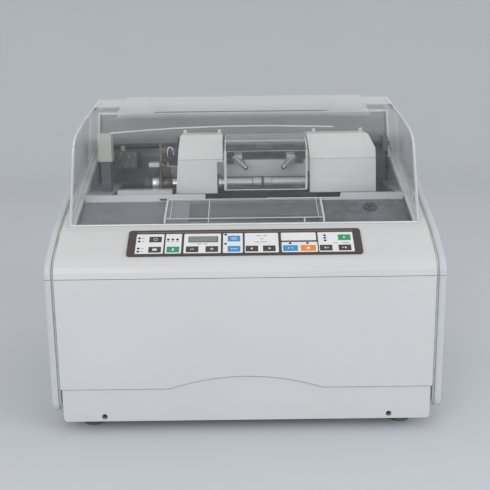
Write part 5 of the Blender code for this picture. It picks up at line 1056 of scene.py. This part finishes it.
class EDGER_OT_head_fittings(bpy.types.Operator):
    """Add the small parts of the head: cover screws, seal rings, the sensor's cover and the pattern clip"""

    bl_idname = "edger.head_fittings"
    bl_label = "Head fittings"

    def execute(self, context):
        pale = moulded_plastic("cover_cap_plastic", (0.55, 0.55, 0.54), 0.3)
        caps = []
        for x in (-0.0946, -0.0389, 0.114, 0.190):
            caps.append(turned("cover_cap", 0.0070, 0.0028, place(x, 0.238, 0.1822), "z", 24, 0.0010))
        ready(joined("cover_caps", caps), pale, "head")
        seals = []
        for x, radius in ((-0.0410, 0.0140), (0.1028, 0.0162)):
            seals.append(ring("shaft_seal", radius, 0.0014, place(x, LENS_BEHIND, LENS_OVER)))
        score = dark_moulding("shaft_score", (0.06, 0.06, 0.065))
        for name, x, body in (("drive_shaft_score", 0.0140, "drive"), ("clamp_shaft_score", 0.0442, "clamp")):
            ready(turned(name, 0.0012, 0.0083, place(x, LENS_BEHIND, LENS_OVER)), score, body)
        ribs = []
        for step in range(KNOB_RIBS):
            turn = 2 * math.pi * step / KNOB_RIBS
            behind = LENS_BEHIND + math.cos(turn) * KNOB_RADIUS
            over = LENS_OVER + math.sin(turn) * KNOB_RADIUS
            ribs.append(([place(-0.1569, behind, over), place(-0.1461, behind, over)], 0.0005, False))
        joined_beads("pattern_knob_ribs", ribs, score, "drive")
        plated = ground_steel("spout_steel", (0.60, 0.60, 0.59), 0.2)
        for node, x, aim in (("left_nozzle", -0.009, 0.014), ("right_nozzle", 0.077, -0.014)):
            run = [place(x - aim * 0.55, 0.2400, 0.1400), place(x + aim, 0.2265, 0.1230)]
            joined_beads(node + "_spout", [(run, 0.0040, False)], plated, node)
        middle = place(-0.1393, LENS_BEHIND, LENS_OVER)
        sleeve = turned("pattern_chuck", 0.0112, 0.0138, middle, "x", 40, 0.0008)
        ready(sleeve, cast_metal("chuck_steel", (0.56, 0.57, 0.58), 0.30, 0.6), "drive")
        middle = place(-0.1213, LENS_BEHIND, LENS_OVER)
        sleeve = turned("drive_collar", 0.0150, 0.0132, middle, "x", 40, 0.0010)
        ready(sleeve, cast_metal("collar_steel", (0.050, 0.053, 0.058), 0.24, 0.5), "drive")
        ready(joined("shaft_seals", seals), soft_rubber("seal_rubber", (0.010, 0.085, 0.040)), "head")
        black = dark_moulding("sensor_black", (0.014, 0.016, 0.020))
        parts = [
            block("sensor_face", place(-0.1497, 0.1882, 0.1165), place(-0.1330, 0.1898, 0.1312), 0.0004),
            block("sensor_side", place(-0.1290, 0.1870, 0.1165), place(-0.1155, 0.1930, 0.1312), 0.0008),
        ]
        ready(joined("sensor_body", parts), black, "head")
        top = block("sensor_top", place(-0.1500, 0.1876, 0.1314), place(-0.1330, 0.2108, 0.1380), 0.0008)
        ready(top, moulded_plastic("sensor_pale", (0.42, 0.43, 0.43), 0.3), "head")
        plate = block("clip_plate", place(-0.1288, 0.1940, 0.1455), place(-0.1115, 0.1956, 0.1625), 0.0004)
        plug = turned("clip_ring", 0.0020, 0.0052, place(-0.1150, 0.1928, 0.1435), "y", 32, 0.0005)
        rim = ring("clip_rim", 0.0060, 0.0011, place(-0.1150, 0.1924, 0.1435), "y")
        ready(joined("pattern_clip", [plate, plug, rim]), black, "head")
        bend = [(-0.1200, 0.126), (-0.1200, 0.157), (-0.1188, 0.1605), (-0.1155, 0.1625), (-0.1122, 0.1605)]
        bend += [(-0.1110, 0.157), (-0.1110, 0.1500)]
        run = [place(x, 0.1930, over) for x, over in bend]
        wire = ground_steel("clip_wire", (0.60, 0.60, 0.58), 0.25)
        joined_beads("pattern_clip_wire", [(run, 0.0010, False)], wire, "head")
        return {"FINISHED"}


class EDGER_OT_traverse(bpy.types.Operator):
    """Cut the traverse screw's thread"""

    bl_idname = "edger.traverse"
    bl_label = "Traverse screw"

    def execute(self, context):
        low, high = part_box("traverse_screw")
        radius = (high.z - low.z) / 2
        root = radius - 0.0007
        pitch = TRAVERSE_PITCH
        journal = 0.008
        turns = int((high.x - low.x - journal) / pitch)
        clear_selection()
        bpy.ops.mesh.primitive_plane_add(size=1)
        obj = started("traverse_thread")
        bpy.ops.object.mode_set(mode="EDIT")
        bpy.ops.mesh.select_all(action="SELECT")
        bpy.ops.mesh.delete(type="ONLY_FACE")
        mesh = bmesh.from_edit_mesh(obj.data)
        profile = ((root, 0), (root, 0.30), (radius, 0.42), (radius, 0.88), (root, 1.0))
        for vertex in list(mesh.verts):
            mesh.verts.remove(vertex)
        stations = [mesh.verts.new((reach, 0, share * pitch)) for reach, share in profile]
        for before, after in zip(stations, stations[1:]):
            mesh.edges.new((before, after))
        bmesh.update_edit_mesh(obj.data)
        bpy.ops.object.mode_set(mode="OBJECT")
        modified(
            obj, "SCREW", angle=2 * math.pi, screw_offset=pitch, iterations=turns, steps=16, render_steps=16,
            use_merge_vertices=True, merge_threshold=0.00001,
        )
        modified(obj, "WELD", merge_threshold=0.00001)
        centre = (low + high) / 2
        start = centre.x - turns * pitch / 2
        obj.data.transform(
            Matrix.Translation((start, centre.y, centre.z)) @ Matrix.Rotation(math.pi / 2, 4, "Y")
        )
        ends = []
        for x in (low.x + journal / 2, high.x - journal / 2):
            ends.append(turned("traverse_journal", journal, radius, (x, centre.y, centre.z)))
        thread = joined("traverse_thread", [obj] + ends)
        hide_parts("traverse_screw")
        finish = Finish("black_steel")
        oil = finish.noise(80.0, 3.0)
        shade = finish.blend(oil, (0.018, 0.018, 0.020), (0.045, 0.045, 0.047))
        ready(thread, finish.close(shade, oil * 0.2 + 0.22, Metallic=0.8), "screw", 50)
        return {"FINISHED"}


class EDGER_OT_stage(bpy.types.Operator):
    """Lay the floor, hang the lights and aim the camera"""

    bl_idname = "edger.stage"
    bl_label = "Stage"

    def execute(self, context):
        looks = context.scene.edger_stage
        clear_selection()
        bpy.ops.mesh.primitive_grid_add(x_subdivisions=96, y_subdivisions=48, size=1)
        floor = started("floor")
        reach = 2.4
        bend = 1.0
        run = reach + bend * math.pi / 2 + 0.4
        for vertex in floor.data.vertices:
            turn = (vertex.co.x + 0.5) * 2 * math.pi
            along = (vertex.co.y + 0.5) * run
            over = min(max(0.0, along - reach) / bend, math.pi / 2)
            out = min(along, reach) + bend * math.sin(over)
            rise = bend * (1 - math.cos(over)) + max(0.0, along - reach - bend * math.pi / 2)
            vertex.co = (out * math.cos(turn), out * math.sin(turn), rise)
        modified(floor, "WELD", merge_threshold=0.0001)
        bpy.ops.object.shade_smooth()
        finish = Finish("floor_paper")
        grain = finish.noise(3.0, 2.0)
        shade = finish.blend(grain, toned(looks.floor, -0.015), toned(looks.floor, 0.015))
        floor.data.materials.append(finish.close(shade, 0.7))
        self.light_world(context, looks)
        self.hang_lamp("key_lamp", (-1.0, -2.4, 1.15), 1.6, looks.key)
        self.hang_lamp("fill_lamp", (2.0, -1.5, 1.0), 1.6, looks.key * 0.95)
        self.aim_camera(context)
        context.scene.view_settings.view_transform = "Standard"
        return {"FINISHED"}

    def light_world(self, context, looks):
        world = bpy.data.worlds.new("studio")
        world.use_nodes = True
        context.scene.world = world
        tree = world.node_tree
        tree.nodes.clear()
        path = tree.nodes.new("ShaderNodeLightPath")
        lit = tree.nodes.new("ShaderNodeBackground")
        lit.inputs["Color"].default_value = (1.0, 1.0, 1.0, 1)
        lit.inputs["Strength"].default_value = looks.sky
        shown = tree.nodes.new("ShaderNodeBackground")
        shown.inputs["Color"].default_value = (*looks.floor, 1)
        shown.inputs["Strength"].default_value = 1.0
        mix = tree.nodes.new("ShaderNodeMixShader")
        output = tree.nodes.new("ShaderNodeOutputWorld")
        seen = tree.nodes.new("ShaderNodeMath")
        seen.operation = "MAXIMUM"
        tree.links.new(path.outputs["Is Camera Ray"], seen.inputs[0])
        tree.links.new(path.outputs["Is Transmission Ray"], seen.inputs[1])
        tree.links.new(seen.outputs[0], mix.inputs[0])
        tree.links.new(lit.outputs[0], mix.inputs[1])
        tree.links.new(shown.outputs[0], mix.inputs[2])
        tree.links.new(mix.outputs[0], output.inputs["Surface"])

    def hang_lamp(self, name, spot, size, power):
        clear_selection()
        bpy.ops.object.light_add(type="AREA", location=spot)
        lamp = bpy.context.active_object
        lamp.name = name
        lamp.data.size = size
        lamp.data.energy = power
        aim = Vector((0, 0, 0.25)) - Vector(spot)
        lamp.rotation_euler = aim.to_track_quat("-Z", "Y").to_euler()

    def aim_camera(self, context):
        clear_selection()
        bpy.ops.object.camera_add()
        camera = bpy.context.active_object
        camera.name = "photo_camera"
        camera.data.lens = 58.8
        camera.data.sensor_width = 36
        camera.matrix_world = (
            Matrix.Translation((0.0005, -1.308, 0.518))
            @ Matrix.Rotation(math.radians(90 - 12.7), 4, "X")
            @ Matrix.Rotation(math.radians(-0.7), 4, "Z")
        )
        context.scene.camera = camera


class EDGER_PT_panel(bpy.types.Panel):
    bl_label = "Lens edger"
    bl_idname = "EDGER_PT_panel"
    bl_space_type = "VIEW_3D"
    bl_region_type = "UI"
    bl_category = "Lens edger"

    def draw(self, context):
        for settings in ("edger_casing", "edger_hood", "edger_keypad", "edger_stage"):
            group = getattr(context.scene, settings)
            for name in group.__annotations__:
                self.layout.prop(group, name)
        for operator in OPERATORS:
            self.layout.operator(operator.bl_idname)


SETTINGS = {
    "edger_casing": CasingSettings,
    "edger_hood": HoodSettings,
    "edger_keypad": KeypadSettings,
    "edger_stage": StageSettings,
}
OPERATORS = (
    EDGER_OT_casing,
    EDGER_OT_hood,
    EDGER_OT_guards,
    EDGER_OT_keypad,
    EDGER_OT_head,
    EDGER_OT_fittings,
    EDGER_OT_head_fittings,
    EDGER_OT_traverse,
    EDGER_OT_stage,
)


def register():
    for name, group in SETTINGS.items():
        bpy.utils.register_class(group)
        setattr(bpy.types.Scene, name, bpy.props.PointerProperty(type=group))
    for kind in (*OPERATORS, EDGER_PT_panel):
        bpy.utils.register_class(kind)


def unregister():
    for kind in (EDGER_PT_panel, *reversed(OPERATORS)):
        bpy.utils.unregister_class(kind)
    for name, group in SETTINGS.items():
        delattr(bpy.types.Scene, name)
        bpy.utils.unregister_class(group)


def main():
    register()
    bpy.ops.edger.casing()
    bpy.ops.edger.hood()
    bpy.ops.edger.guards()
    bpy.ops.edger.keypad()
    bpy.ops.edger.head()
    bpy.ops.edger.fittings()
    bpy.ops.edger.head_fittings()
    bpy.ops.edger.traverse()
    bpy.ops.edger.stage()


if __name__ == "__main__":
    main()
